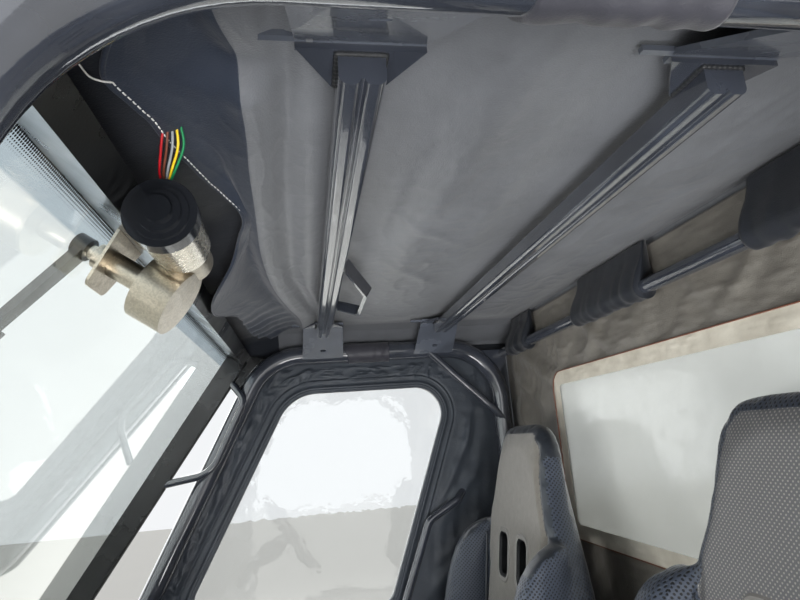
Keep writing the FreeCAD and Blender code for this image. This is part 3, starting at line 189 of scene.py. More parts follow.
def ripples(a, b, size, seed, along=1.0, waves=14):
    """Smooth noise about zero: sine waves near one wavelength, in random directions with random
    phases, added up. along stretches the pattern in the first direction."""
    draw = np.random.default_rng(seed)
    total = np.zeros(np.broadcast(a, b).shape)
    for heading, scale, phase in zip(draw.uniform(0, np.pi, waves), draw.uniform(0.6, 1.6, waves),
                                     draw.uniform(0, 2 * np.pi, waves)):
        across = a / along * np.cos(heading) + b * np.sin(heading)
        total = total + np.sin(2 * np.pi * across / (size * scale) + phase)
    return total / np.sqrt(waves / 2)


def ridged(noise):
    """Turns smooth noise into creases: sharp where it crosses zero, level away from there."""
    return np.exp(-np.abs(noise) * 3.0)


def bell(distance, width):
    """A soft hump: 1 at no distance, falling to about a third at the width."""
    return np.exp(-(distance / width) ** 2)


def step(value, low, high):
    """0 below low and 1 above high, with a smooth rise between."""
    share = np.clip((value - low) / (high - low), 0, 1)
    return share * share * (3 - 2 * share)


def creases(a, b, table):
    """Sum of long soft ridges. Each row gives start a, b, end a, b, width, height and bow: a bell
    across the line, which bows sideways like a parabola, and fades out towards both ends."""
    total = np.zeros(np.broadcast(a, b).shape)
    for a0, b0, a1, b1, width, height, bow in table:
        length = np.hypot(a1 - a0, b1 - b0)
        along = ((a - a0) * (a1 - a0) + (b - b0) * (b1 - b0)) / length ** 2
        across = ((b - b0) * (a1 - a0) - (a - a0) * (b1 - b0)) / length - bow * 4 * along * (1 - along)
        fade = step(along, -0.08, 0.22) * (1 - step(along, 0.70, 1.1))
        total = total + height * bell(across, width) * fade
    return total


def through(samples, knots, values):
    """Smooth curve through values at rising knots: cubic pieces whose slopes are the mean of the
    slopes on both sides."""
    knots = np.asarray(knots, float)
    values = np.asarray(values, float)
    slope = np.gradient(values, knots, axis=0)
    i = np.clip(np.searchsorted(knots, samples) - 1, 0, len(knots) - 2)
    gap = knots[i + 1] - knots[i]
    t = (np.clip(samples, knots[0], knots[-1]) - knots[i]) / gap
    if values.ndim > 1:
        t = t[..., None]
        gap = gap[..., None]
    rise = (2 * t ** 3 - 3 * t ** 2 + 1) * values[i] + (3 * t ** 2 - 2 * t ** 3) * values[i + 1]
    lean = (t ** 3 - 2 * t ** 2 + t) * slope[i] + (t ** 3 - t ** 2) * slope[i + 1]
    return rise + lean * gap


def fan(corners, spacing, turning):
    """Points and outward normals of a convex outline. Straight runs are sampled by length; each
    corner is an arc tangent to both its runs, sampled by angle. Corners are (a, b, radius)."""
    spots = np.array([corner[:2] for corner in corners])
    radii = np.array([corner[2] for corner in corners])
    back = np.roll(spots, 1, axis=0) - spots
    back = back / np.linalg.norm(back, axis=1)[:, None]
    ahead = -np.roll(back, -1, axis=0)
    half = np.arccos(np.clip((back * ahead).sum(axis=1), -1, 1)) / 2
    middle = back + ahead
    hubs = spots + middle / np.linalg.norm(middle, axis=1)[:, None] * (radii / np.sin(half))[:, None]
    first_run = spots[1] - spots[0]
    next_run = spots[2] - spots[1]
    way = np.sign(first_run[0] * next_run[1] - first_run[1] * next_run[0])
    first = np.stack([-back[:, 1], back[:, 0]], axis=1) * way
    last = np.stack([ahead[:, 1], -ahead[:, 0]], axis=1) * way
    points = []
    normals = []
    for i in range(len(corners)):
        a0 = np.arctan2(first[i, 1], first[i, 0])
        sweep = (np.arctan2(last[i, 1], last[i, 0]) - a0 + np.pi) % (2 * np.pi) - np.pi
        angles = a0 + sweep * np.linspace(0, 1, max(3, int(abs(sweep) / turning) + 1))
        rays = np.stack([np.cos(angles), np.sin(angles)], axis=1)
        points.append(hubs[i] + radii[i] * rays)
        normals.append(rays)
        start = hubs[i] + radii[i] * last[i]
        j = (i + 1) % len(corners)
        end = hubs[j] + radii[j] * first[j]
        count = max(2, int(np.linalg.norm(end - start) / spacing) + 1)
        share = np.linspace(0, 1, count + 1)[1:-1, None]
        points.append(start + (end - start) * share)
        normals.append(np.repeat(last[i:i + 1], len(share), axis=0))
    return np.concatenate(points), np.concatenate(normals)


def reach(points, normals, boundary):
    """How far each point's normal runs until it meets a closed boundary."""
    edge = np.roll(boundary, -1, axis=0) - boundary
    gap = boundary[None] - points[:, None]
    with np.errstate(divide="ignore", invalid="ignore"):
        cross = normals[:, None, 0] * edge[None, :, 1] - normals[:, None, 1] * edge[None, :, 0]
        run = (gap[..., 0] * edge[None, :, 1] - gap[..., 1] * edge[None, :, 0]) / cross
        share = (gap[..., 0] * normals[:, None, 1] - gap[..., 1] * normals[:, None, 0]) / cross
    met = (run > 1e-6) & (share > -1e-6) & (share < 1 + 1e-6)
    return np.where(met, run, np.inf).min(axis=1)


def round_angles(count):
    """Angles at even steps once round a circle."""
    return np.arange(count) * 2 * np.pi / count


def ring(radius, count=12):
    """Points round a circle, as the profile of a round bar."""
    angle = round_angles(count)
    return np.stack([np.cos(angle), np.sin(angle)], axis=1) * radius


def squared(wave, power):
    """Swells a sine or cosine towards its ends, which turns the circle drawn with it into a rounded
    box: the smaller the power, the squarer."""
    return np.sign(wave) * np.abs(wave) ** power


def surface(x, y, z):
    """Grid points from three arrays that stretch to one another's shape."""
    return np.stack(np.broadcast_arrays(x, y, z), axis=-1)


def two_sided(inner, outer):
    """Joins two faces of a shell into one grid that runs out on one and back on the other."""
    return np.concatenate([inner, outer[:, ::-1]], axis=1)


def swept(path, profile, reference, closed=False):
    """A profile carried along a path: each ring stands square to the path, one of its sides turned
    towards a reference direction."""
    path = np.asarray(path, float)
    if closed:
        tangent = np.roll(path, -1, axis=0) - np.roll(path, 1, axis=0)
    else:
        tangent = np.gradient(path, axis=0)
    tangent = tangent / np.linalg.norm(tangent, axis=1)[:, None]
    side = np.cross(tangent, np.asarray(reference, float))
    side = side / np.linalg.norm(side, axis=1)[:, None]
    up = np.cross(side, tangent)
    profile = np.asarray(profile, float)
    if profile.ndim == 2:
        profile = profile[None]
    return path[:, None] + side[:, None] * profile[..., 0:1] + up[:, None] * profile[..., 1:2]


def rod(path, profile, reference, kind=0):
    """A swept profile as make_piece takes it: closed round the profile, open at the path's ends."""
    return swept(path, profile, reference), False, True, kind


def spaced(path, spacing):
    """Points along a path at even steps of its length."""
    path = np.asarray(path, float)
    run = np.concatenate([[0], np.cumsum(np.linalg.norm(np.diff(path, axis=0), axis=1))])
    marks = np.linspace(0, run[-1], max(2, int(run[-1] / spacing) + 1))
    return np.stack([np.interp(marks, run, path[:, k]) for k in range(path.shape[1])], axis=1)


def grid_faces(rows, columns, wrap_rows, wrap_columns):
    """Corner numbers of the faces of a grid, closed round where asked."""
    index = np.arange(rows * columns).reshape(rows, columns)
    if wrap_rows:
        index = np.concatenate([index, index[:1]])
    if wrap_columns:
        index = np.concatenate([index, index[:, :1]], axis=1)
    corners = [index[:-1, :-1], index[1:, :-1], index[1:, 1:], index[:-1, 1:]]
    return np.stack(corners, axis=-1).reshape(-1, 4)


def grid_mesh(name, grids):
    """A mesh from grids, each of which is (points, wrap_rows, wrap_columns, material number)."""
    mesh = bpy.data.meshes.new(name)
    corners = np.concatenate([grid[0].reshape(-1, 3) for grid in grids])
    faces = []
    kinds = []
    start = 0
    for points, wrap_rows, wrap_columns, kind in grids:
        rows, columns = points.shape[:2]
        faces.append(grid_faces(rows, columns, wrap_rows, wrap_columns) + start)
        kinds.append(np.full(len(faces[-1]), kind))
        start += rows * columns
    faces = np.concatenate(faces)
    mesh.vertices.add(len(corners))
    mesh.vertices.foreach_set("co", corners.astype(np.float32).ravel())
    mesh.loops.add(faces.size)
    mesh.loops.foreach_set("vertex_index", faces.astype(np.int32).ravel())
    mesh.polygons.add(len(faces))
    mesh.polygons.foreach_set("loop_start", np.arange(len(faces), dtype=np.int32) * 4)
    mesh.polygons.foreach_set("material_index", np.concatenate(kinds).astype(np.int32))
    mesh.update(calc_edges=True)
    return mesh


def sealed(mesh, close=True, merge=2e-6):
    """Merges a mesh's doubles and, where asked, closes its open ends with a face each and turns its
    faces outwards."""
    bm = bmesh.new()
    bm.from_mesh(mesh)
    bmesh.ops.remove_doubles(bm, verts=bm.verts, dist=merge)
    if close:
        bmesh.ops.holes_fill(bm, edges=[edge for edge in bm.edges if edge.is_boundary], sides=0)
        bmesh.ops.recalc_face_normals(bm, faces=bm.faces)
    bm.to_mesh(mesh)
    bm.free()
    return mesh


def linked(name, data):
    """A new object in the scene, at the origin."""
    thing = bpy.data.objects.new(name, data)
    bpy.context.scene.collection.objects.link(thing)
    return thing


def make_piece(name, grids, body, materials, replaces=(), close=True):
    """One smooth mesh object from grids, settled on its body."""
    mesh = sealed(grid_mesh(name, grids), close)
    mesh.shade_smooth()
    for material in materials:
        mesh.materials.append(material)
    return settle(linked(name, mesh), body, replaces)


def settle(piece, body, replaces=()):
    """Puts a finished piece on its body and the nodes that it stands for."""
    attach(piece, body)
    if replaces:
        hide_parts(*replaces)
    return piece


def sharpen(piece, degrees):
    """Keeps edges crisp where faces meet at more than an angle."""
    piece.data.set_sharp_from_angle(angle=np.radians(degrees))


def thicken(piece, wall, offset, skip=0):
    """Gives a sheet its wall with a Solidify modifier; offset 1 grows outwards, -1 inwards. The new
    side takes the material that stands skip places further in the piece's list."""
    modifier = piece.modifiers.new("wall", "SOLIDIFY")
    modifier.thickness = wall
    modifier.offset = offset
    modifier.use_even_offset = False
    modifier.material_offset = skip


def values(items, key, width=3):
    """One property of all of a mesh's vertices or faces, a row for each."""
    flat = np.zeros(len(items) * width, np.float32)
    items.foreach_get(key, flat)
    return flat.reshape(-1, width)


def coordinates(piece):
    """The piece's points as an array."""
    return values(piece.data.vertices, "co").astype(float)


def set_coordinates(piece, points):
    """Writes an array of points back into the piece."""
    piece.data.vertices.foreach_set("co", points.astype(np.float32).ravel())
    piece.data.update()


def outward(piece, towards):
    """Turns an open sheet's faces so that most of their area looks towards a direction."""
    faces = piece.data.polygons
    facing = values(faces, "normal") @ np.array(towards, np.float32) * values(faces, "area", 1)[:, 0]
    if facing.sum() < 0:
        piece.data.flip_normals()


def flat_area(points):
    """Area of a grid surface, from the cross products of its cells' diagonals."""
    one = points[1:, 1:] - points[:-1, :-1]
    other = points[1:, :-1] - points[:-1, 1:]
    return float(np.linalg.norm(np.cross(one, other), axis=2).sum() / 2)


# Materials

def add_node(tree, kind, inputs=None, **settings):
    """Adds a node, sets its properties, and fills its inputs with values or links."""
    node = tree.nodes.new(kind)
    for name, value in settings.items():
        setattr(node, name, value)
    for name, value in (inputs or {}).items():
        if isinstance(value, bpy.types.NodeSocket):
            tree.links.new(value, node.inputs[name])
        else:
            node.inputs[name].default_value = value
    return node


def new_material(name, **constants):
    """A Principled material with its constant inputs, and its tree, shader and object coordinates."""
    material = bpy.data.materials.new(name)
    material.use_nodes = True
    tree = material.node_tree
    shader = tree.nodes["Principled BSDF"]
    for key, value in constants.items():
        shader.inputs[key.replace("_", " ")].default_value = value
    place = add_node(tree, "ShaderNodeTexCoord").outputs["Object"]
    return material, tree, shader, place


def mottled(tree, shader, noise, low, high):
    """Lets the base colour wander between two, while noise goes from 0.3 to 0.7, where most of it
    lies."""
    share = add_node(tree, "ShaderNodeMapRange", {"Value": noise, "From Min": 0.3, "From Max": 0.7}).outputs["Result"]
    colour = add_node(tree, "ShaderNodeMix", {0: share, 6: low, 7: high}, data_type="RGBA").outputs[2]
    tree.links.new(colour, shader.inputs["Base Color"])


def worn(tree, shader, noise, low, high):
    """Lets the roughness wander between two values, while noise goes from 0.3 to 0.7."""
    roughness = add_node(tree, "ShaderNodeMapRange", {"Value": noise, "From Min": 0.3, "From Max": 0.7,
                                                      "To Min": low, "To Max": high}).outputs["Result"]
    tree.links.new(roughness, shader.inputs["Roughness"])


def relief(tree, shader, layers):
    """Chains bumps, each a height socket and how far it stands out in metres."""
    normal = None
    for height, depth in layers:
        inputs = {"Height": height, "Distance": depth, "Strength": 1.0}
        if normal is not None:
            inputs["Normal"] = normal
        normal = add_node(tree, "ShaderNodeBump", inputs).outputs["Normal"]
    tree.links.new(normal, shader.inputs["Normal"])


def darker(colour, share):
    """The same colour with its light scaled."""
    return (*(min(1.0, channel * share) for channel in colour[:3]), 1.0)


def painted_steel(name, colour, roughness, coat):
    """Powder coat on tube: a level gloss film with faint orange peel about 2.5 mm across, and dust
    that dulls patches some 8 cm wide."""
    material, tree, shader, place = new_material(name, Coat_Weight=coat, Coat_Roughness=0.04)
    dust = add_node(tree, "ShaderNodeTexNoise", {"Vector": place, "Scale": 12.0, "Detail": 6.0}).outputs["Fac"]
    peel = add_node(tree, "ShaderNodeTexNoise", {"Vector": place, "Scale": 400.0, "Detail": 1.0}).outputs["Fac"]
    specks = add_node(tree, "ShaderNodeTexNoise", {"Vector": place, "Scale": 900.0, "Detail": 2.0}).outputs["Fac"]
    mottled(tree, shader, dust, colour, darker(colour, 1.7))
    worn(tree, shader, dust, roughness * 0.75, roughness * 1.5)
    relief(tree, shader, ((peel, 0.00006), (specks, 0.00001)))
    return material


def coated_cloth(name, colour, roughness, grain, crease, streak=1.0):
    """PVC-coated polyester: a soft sheen, an embossed leather grain about 1.2 mm across drawn at
    1.6 mm to show, fine creases some 2 cm long, and paler rubbed streaks."""
    material, tree, shader, place = new_material(name, Sheen_Weight=0.12, Sheen_Roughness=0.4,
                                                 Specular_IOR_Level=0.5)
    streaks = {"Vector": place, "Scale": (1.0, 1.0 / streak, 1.0)}
    drawn = add_node(tree, "ShaderNodeMapping", streaks).outputs["Vector"]
    cells = add_node(tree, "ShaderNodeTexVoronoi", {"Vector": place, "Scale": 620.0}).outputs["Distance"]
    fold = add_node(tree, "ShaderNodeTexNoise", {"Vector": drawn, "Scale": 55.0, "Detail": 5.0, "Roughness": 0.6,
                                                 "Distortion": 0.4}).outputs["Fac"]
    cloud = add_node(tree, "ShaderNodeTexNoise", {"Vector": drawn, "Scale": 9.0, "Detail": 7.0,
                                                  "Roughness": 0.65}).outputs["Fac"]
    mottled(tree, shader, cloud, darker(colour, 0.82), darker(colour, 1.22))
    worn(tree, shader, cloud, roughness * 0.88, roughness * 1.15)
    relief(tree, shader, ((fold, crease), (cells, grain)))
    return material


def moulded_plastic(name, colour, roughness, depth=0.00012):
    """Injection-moulded polypropylene: spark-eroded grain about 0.9 mm across, slightly polished
    where it has been rubbed."""
    material, tree, shader, place = new_material(name)
    grain = add_node(tree, "ShaderNodeTexVoronoi", {"Vector": place, "Scale": 1100.0}).outputs["Distance"]
    rub = add_node(tree, "ShaderNodeTexNoise", {"Vector": place, "Scale": 14.0, "Detail": 5.0}).outputs["Fac"]
    mottled(tree, shader, rub, darker(colour, 0.85), darker(colour, 1.2))
    worn(tree, shader, rub, roughness * 0.85, roughness * 1.15)
    relief(tree, shader, ((grain, depth),))
    return material


def plated_metal(name, colour, roughness, spangle, contrast):
    """Zinc plate or bare cast alloy: grey metal with soft crystals or casting skin of the given
    size in metres, and thin scratches."""
    material, tree, shader, place = new_material(name, Metallic=1.0)
    crystal = add_node(tree, "ShaderNodeTexVoronoi", {"Vector": place, "Scale": 1.0 / spangle}).outputs["Color"]
    tone = add_node(tree, "ShaderNodeRGBToBW", {"Color": crystal}).outputs["Val"]
    scratch = add_node(tree, "ShaderNodeTexNoise", {"Vector": place, "Scale": 160.0, "Detail": 4.0}).outputs["Fac"]
    mottled(tree, shader, tone, darker(colour, 1.0 - contrast), darker(colour, 1.0 + contrast / 2))
    worn(tree, shader, scratch, roughness * 0.85, roughness * 1.2)
    relief(tree, shader, ((scratch, 0.00015 * contrast), (tone, 0.00005 * contrast)))
    return material


def insulated_wire(name, colour):
    """PVC insulation: plain colour with the slight waviness of extruded wire, 3 mm long."""
    material, tree, shader, place = new_material(name, Roughness=0.38)
    wave = add_node(tree, "ShaderNodeTexNoise", {"Vector": place, "Scale": 330.0}).outputs["Fac"]
    mottled(tree, shader, wave, darker(colour, 0.85), colour)
    relief(tree, shader, ((wave, 0.00008),))
    return material


def clear_film(name, tint, haze, crease):
    """Flexible PVC window: clear film with a little haze that scatters light, and shallow waves
    some 6 cm long from being rolled up. What it mirrors is turned down, as dust does to old film."""
    material, tree, shader, place = new_material(name, IOR=1.53, Transmission_Weight=1.0 - haze, Base_Color=tint,
                                                 Specular_IOR_Level=0.0)
    wave = add_node(tree, "ShaderNodeTexNoise", {"Vector": place, "Scale": 16.0, "Detail": 3.0}).outputs["Fac"]
    scuff = add_node(tree, "ShaderNodeTexNoise", {"Vector": place, "Scale": 45.0, "Detail": 8.0,
                                                  "Roughness": 0.7}).outputs["Fac"]
    worn(tree, shader, scuff, haze * 0.15, haze * 0.75)
    relief(tree, shader, ((wave, crease),))
    return material


def screen_glass():
    """Laminated windscreen glass: faint green, a grey-blue band behind its top edge, and
    black ceramic that ends in rows of dots 3 mm apart, smaller towards the clear glass."""
    material, tree, shader, place = new_material("laminated windscreen glass", IOR=1.52, Roughness=0.0)
    down = add_node(tree, "ShaderNodeVectorMath", {0: place, 1: tuple(DOWN_SCREEN)},
                    operation="DOT_PRODUCT").outputs["Value"]
    fall = add_node(tree, "ShaderNodeMath", {0: down, 1: float(DOWN_SCREEN @ SCREEN_TOP)},
                    operation="SUBTRACT").outputs[0]
    aside = add_node(tree, "ShaderNodeSeparateXYZ", {"Vector": place}).outputs["Y"]
    steps = add_node(tree, "ShaderNodeCombineXYZ", {"X": fall, "Y": aside}).outputs["Vector"]
    dots = add_node(tree, "ShaderNodeTexVoronoi", {"Vector": steps, "Scale": 333.0, "Randomness": 0.0},
                    voronoi_dimensions="2D").outputs["Distance"]
    share = add_node(tree, "ShaderNodeMapRange", {"Value": fall, "From Min": 0.020, "From Max": 0.048,
                                                  "To Min": 0.72, "To Max": 0.0}).outputs["Result"]
    mask = add_node(tree, "ShaderNodeMath", {0: dots, 1: share}, operation="LESS_THAN").outputs[0]
    clear = add_node(tree, "ShaderNodeMath", {0: 1.0, 1: mask}, operation="SUBTRACT").outputs[0]
    shade = add_node(tree, "ShaderNodeMapRange", {"Value": fall, "From Min": 0.059,
                                                  "From Max": 0.062}).outputs["Result"]
    tint = add_node(tree, "ShaderNodeMix", {0: shade, 6: linear("c3d0d6"), 7: linear("f4faf8")},
                    data_type="RGBA").outputs[2]
    printed = add_node(tree, "ShaderNodeMix", {0: mask, 6: tint, 7: linear("08090a")}, data_type="RGBA").outputs[2]
    tree.links.new(printed, shader.inputs["Base Color"])
    tree.links.new(clear, shader.inputs["Transmission Weight"])
    return material


def brushed_seat_cloth(colour):
    """Brushed microfibre on foam: matt, with short nap that lies in patches about 15 mm across and
    a fine knit drawn at 1.8 mm to show."""
    material, tree, shader, place = new_material("brushed seat cloth", Roughness=0.88, Sheen_Weight=0.45,
                                                 Sheen_Roughness=0.5)
    nap = add_node(tree, "ShaderNodeTexNoise", {"Vector": place, "Scale": 65.0, "Detail": 8.0,
                                                "Roughness": 0.7}).outputs["Fac"]
    knit = add_node(tree, "ShaderNodeTexVoronoi", {"Vector": place, "Scale": 560.0}).outputs["Distance"]
    mottled(tree, shader, nap, darker(colour, 0.8), darker(colour, 1.15))
    relief(tree, shader, ((nap, 0.0003), (knit, 0.0003)))
    return material


def dotted_seat_cover(name, colour, dot, pitch, wide, depth, roughness):
    """Seat cover with dots in staggered rows, a little bluish: holes of perforated vinyl, or the
    knots of a woven cloth. Pitch in metres; wide is the dot's share of it. The rows are laid out
    across the seat, and along it on the faces that look sideways."""
    material, tree, shader, place = new_material(name, Roughness=roughness)
    laid = []
    for turn, aside in (((0.785, 0.0, 0.0), "Y"), ((0.0, 0.785, 0.0), "X")):
        lean = add_node(tree, "ShaderNodeMapping", {"Vector": place, "Rotation": turn}).outputs["Vector"]
        split = add_node(tree, "ShaderNodeSeparateXYZ", {"Vector": lean}).outputs
        laid.append(add_node(tree, "ShaderNodeCombineXYZ", {"X": split[aside], "Y": split["Z"]}).outputs["Vector"])
    facing = add_node(tree, "ShaderNodeNewGeometry").outputs["Normal"]
    turned = add_node(tree, "ShaderNodeSeparateXYZ", {"Vector": facing}).outputs["Y"]
    sideways = add_node(tree, "ShaderNodeMath", {0: turned}, operation="ABSOLUTE").outputs[0]
    which = add_node(tree, "ShaderNodeMath", {0: sideways, 1: 0.6}, operation="GREATER_THAN").outputs[0]
    spot = add_node(tree, "ShaderNodeMix", {0: which, 4: laid[0], 5: laid[1]}, data_type="VECTOR").outputs[1]
    holes = add_node(tree, "ShaderNodeTexVoronoi", {"Vector": spot, "Scale": 1.0 / pitch, "Randomness": 0.0},
                     voronoi_dimensions="2D").outputs["Distance"]
    edge = add_node(tree, "ShaderNodeMapRange", {"Value": holes, "From Min": wide - 0.07,
                                                 "From Max": wide + 0.07}).outputs["Result"]
    dotted = add_node(tree, "ShaderNodeMix", {0: edge, 6: dot, 7: colour}, data_type="RGBA").outputs[2]
    tree.links.new(dotted, shader.inputs["Base Color"])
    relief(tree, shader, ((edge, depth),))
    return material


def aged_strip():
    """Vinyl-coated window tape gone tan: a little see-through, wrinkled every 2 cm or so."""
    material, tree, shader, place = new_material("aged window tape", Roughness=0.5, Transmission_Weight=0.25, IOR=1.45)
    wrinkle = add_node(tree, "ShaderNodeTexNoise", {"Vector": place, "Scale": 48.0, "Detail": 4.0}).outputs["Fac"]
    stain = add_node(tree, "ShaderNodeTexNoise", {"Vector": place, "Scale": 20.0, "Detail": 6.0}).outputs["Fac"]
    mottled(tree, shader, stain, linear("cdc6b6"), linear("efe9d9"))
    relief(tree, shader, ((wrinkle, 0.0012),))
    return material


def floor_paint(colour):
    """Matt floor paint with a very faint mottle, so that the shadow reads."""
    material, tree, shader, place = new_material("matt floor paint", Roughness=0.9)
    mottle = add_node(tree, "ShaderNodeTexNoise", {"Vector": place, "Scale": 1.5, "Detail": 4.0}).outputs["Fac"]
    mottled(tree, shader, mottle, darker(colour, 0.98), colour)
    return material


def dress(material, *nodes):
    """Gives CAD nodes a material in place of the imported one."""
    for node in nodes:
        CAD[node].data.materials.clear()
        CAD[node].data.materials.append(material)


# Pieces

class CAB_OT_stage(bpy.types.Operator):
    """Camera at the photograph's viewpoint, pale floor, even sky and soft boxes"""
    bl_idname = "cab.stage"
    bl_label = "Stage"

    def execute(self, context):
        settings = context.scene.cab_stage
        context.scene.view_settings.view_transform = "Standard"
        context.scene.camera = photo_camera(settings.lens)
        context.scene.world = even_sky(settings.sky, settings.shine)
        floor_mesh = bpy.data.meshes.new("floor")
        floor_mesh.from_pydata([(-9, -9, 0), (9, -9, 0), (9, 9, 0), (-9, 9, 0)], [], [(0, 1, 2, 3)])
        floor_mesh.materials.append(floor_paint(settings.floor[:]))
        linked("floor", floor_mesh)
        for name, place, target, width, height, share, spread, mirrored in SOFT_BOXES:
            light = bpy.data.lights.new(name, "AREA")
            light.shape = "RECTANGLE"
            light.size = width
            light.size_y = height
            light.energy = settings.lamps * share
            light.spread = np.radians(spread)
            lamp = linked(name, light)
            lamp.location = place
            lamp.visible_camera = False
            lamp.visible_transmission = False
            lamp.visible_glossy = mirrored
            lamp.rotation_euler = (Vector(target) - Vector(place)).to_track_quat("-Z", "Y").to_euler()
        return {"FINISHED"}


def photo_camera(focal_length):
    """The photograph's camera, from its place and its three turns."""
    ahead = -np.cos(CAMERA_PITCH)
    forward = np.array((np.sin(CAMERA_YAW) * ahead, np.cos(CAMERA_YAW) * ahead, np.sin(CAMERA_PITCH)))
    level = np.array((-np.cos(CAMERA_YAW), np.sin(CAMERA_YAW), 0.0))
    right = level * np.cos(CAMERA_ROLL) - np.cross(level, forward) * np.sin(CAMERA_ROLL)
    up = np.cross(right, forward)
    lens = bpy.data.cameras.new("photo_camera")
    lens.sensor_width = 36.0
    lens.lens = focal_length
    lens.clip_start = 0.01
    camera = linked("photo_camera", lens)
    turned = Matrix(np.stack([right, up, -forward], axis=1).tolist()).to_4x4()
    camera.matrix_world = Matrix.Translation(CAMERA_PLACE) @ turned
    return camera


def even_sky(strength, shine):
    """A pale sky: it lights the cab at one strength, shows behind it at 1, and looks brighter by
    shine in what paint and plating mirror."""
    world = bpy.data.worlds.new("even sky")
    world.use_nodes = True
    tree = world.node_tree
    back = tree.nodes["Background"]
    back.inputs["Color"].default_value = linear("f4f6f8")
    rays = add_node(tree, "ShaderNodeLightPath").outputs
    seen = rays["Is Camera Ray"]
    for kind in ("Is Glossy Ray", "Is Transmission Ray"):
        seen = add_node(tree, "ShaderNodeMath", {0: seen, 1: rays[kind]}, operation="MAXIMUM").outputs[0]
    power = add_node(tree, "ShaderNodeMapRange", {"Value": seen, "To Min": strength, "To Max": 1.0}).outputs["Result"]
    mirror = add_node(tree, "ShaderNodeMath", {0: rays["Glossy Depth"], 1: 0.5}, operation="GREATER_THAN").outputs[0]
    power = add_node(tree, "ShaderNodeMath", {0: mirror, 1: shine - 1.0, 2: power},
                     operation="MULTIPLY_ADD").outputs[0]
    tree.links.new(power, back.inputs["Strength"])
    return world


class CAB_OT_metal(bpy.types.Operator):
    """Paint, plating and mouldings on the CAD pieces that stay"""
    bl_idname = "cab.metal"
    bl_label = "Metal and mouldings"

    def execute(self, context):
        settings = context.scene.cab_metal
        gloss = painted_steel("gloss powder coat", settings.cage[:], 0.13, 1.0)
        satin = painted_steel("satin powder coat", linear("1b1c1e"), 0.42, 0.0)
        screen = painted_steel("satin windscreen paint", settings.screen_frame[:], 0.27, 0.2)
        sheet = painted_steel("textured sheet paint", linear("26282b"), 0.55, 0.0)
        # The brackets' paint is drawn paler grey than the black cage paint, as painted reflection of the bright
        # outside.
        dress(painted_steel("bracket paint lightened as painted reflection", linear("42464e"), 0.22, 0.6), "member_brackets")
        dress(gloss, "hoop_left", "hoop_right", "front_cross_member", "rear_cross_member", "rear_crossbar",
              "roof_grab_handle", "windscreen_handles", "door_fittings_left", "door_fittings_right")
        dress(satin, "base_frame", "hinge_lugs", "seat_rails", "pedals")
        dress(screen, "windscreen_frame")
        dress(sheet, "floor_pan", "front_bulkhead", "rear_panel")
        dress(moulded_plastic("moulded polypropylene", linear("24262a"), 0.5), "dashboard", "seat_box",
              "steering_column")
        dress(moulded_plastic("moulded grip rubber", linear("17181a"), 0.62), "steering_wheel")
        dress(plated_metal("zinc-plated can", linear("e4ddce"), 0.26, 0.004, 0.04), "wiper_motor")
        dress(plated_metal("die-cast alloy", linear("c2b9a9"), 0.36, 0.0018, 0.12), "wiper_gear")
        dress(plated_metal("bare steel bar", linear("a8a7a4"), 0.3, 0.003, 0.2), "steering_shaft")
        dress(moulded_plastic("moulded nylon cap", linear("191b1f"), 0.16, 0.00001), "wiper_cap")
        dress(painted_steel("satin wiper paint", linear("141517"), 0.4, 0.0), "wiper_arm", "wiper_blade")
        dress(screen_glass(), "windscreen_glass")
        make_piece("gusset_welds", gusset_welds(settings.weld), "root", [satin])
        rubber = moulded_plastic("ridged glazing rubber", linear("0c0d0f"), 0.3)
        make_piece("screen_ridges", screen_ridges(), "root", [rubber])
        return {"FINISHED"}


def gusset_welds(radius):
    """Weld beads where the roof members meet their gussets: round bars along three sides of each
    joint, whose radius swells and shrinks like a wave from one bead to the next."""
    half, inner, outer, z = GUSSET_WELD
    grids = []
    for x in MEMBERS_X:
        for side in (-1, 1):
            knots = [(x - half, inner), (x - half, outer), (x + half, outer), (x + half, inner)]
            path = spaced([(a, side * b, z) for a, b in knots], 0.0012)
            beads = 1 + 0.13 * np.sin(np.arange(len(path)) * 2 * np.pi / 4)
            grids.append(rod(path, ring(1.0, 8)[None] * (radius * beads)[:, None, None], (0, 0, 1)))
    return grids


def screen_ridges():
    """Three thin ridges down the rubber on each side bar of the windscreen."""
    grids = []
    for side in (-1, 1):
        for aside in (-0.009, -0.001, 0.007):
            ends = [on_screen(down, -0.0234, side * (HOOP_Y + aside)) for down in (0.018, SCREEN_LENGTH - 0.02)]
            grids.append(rod(spaced(ends, 0.02), ring(0.0021, 8), OUT_SCREEN))
    return grids


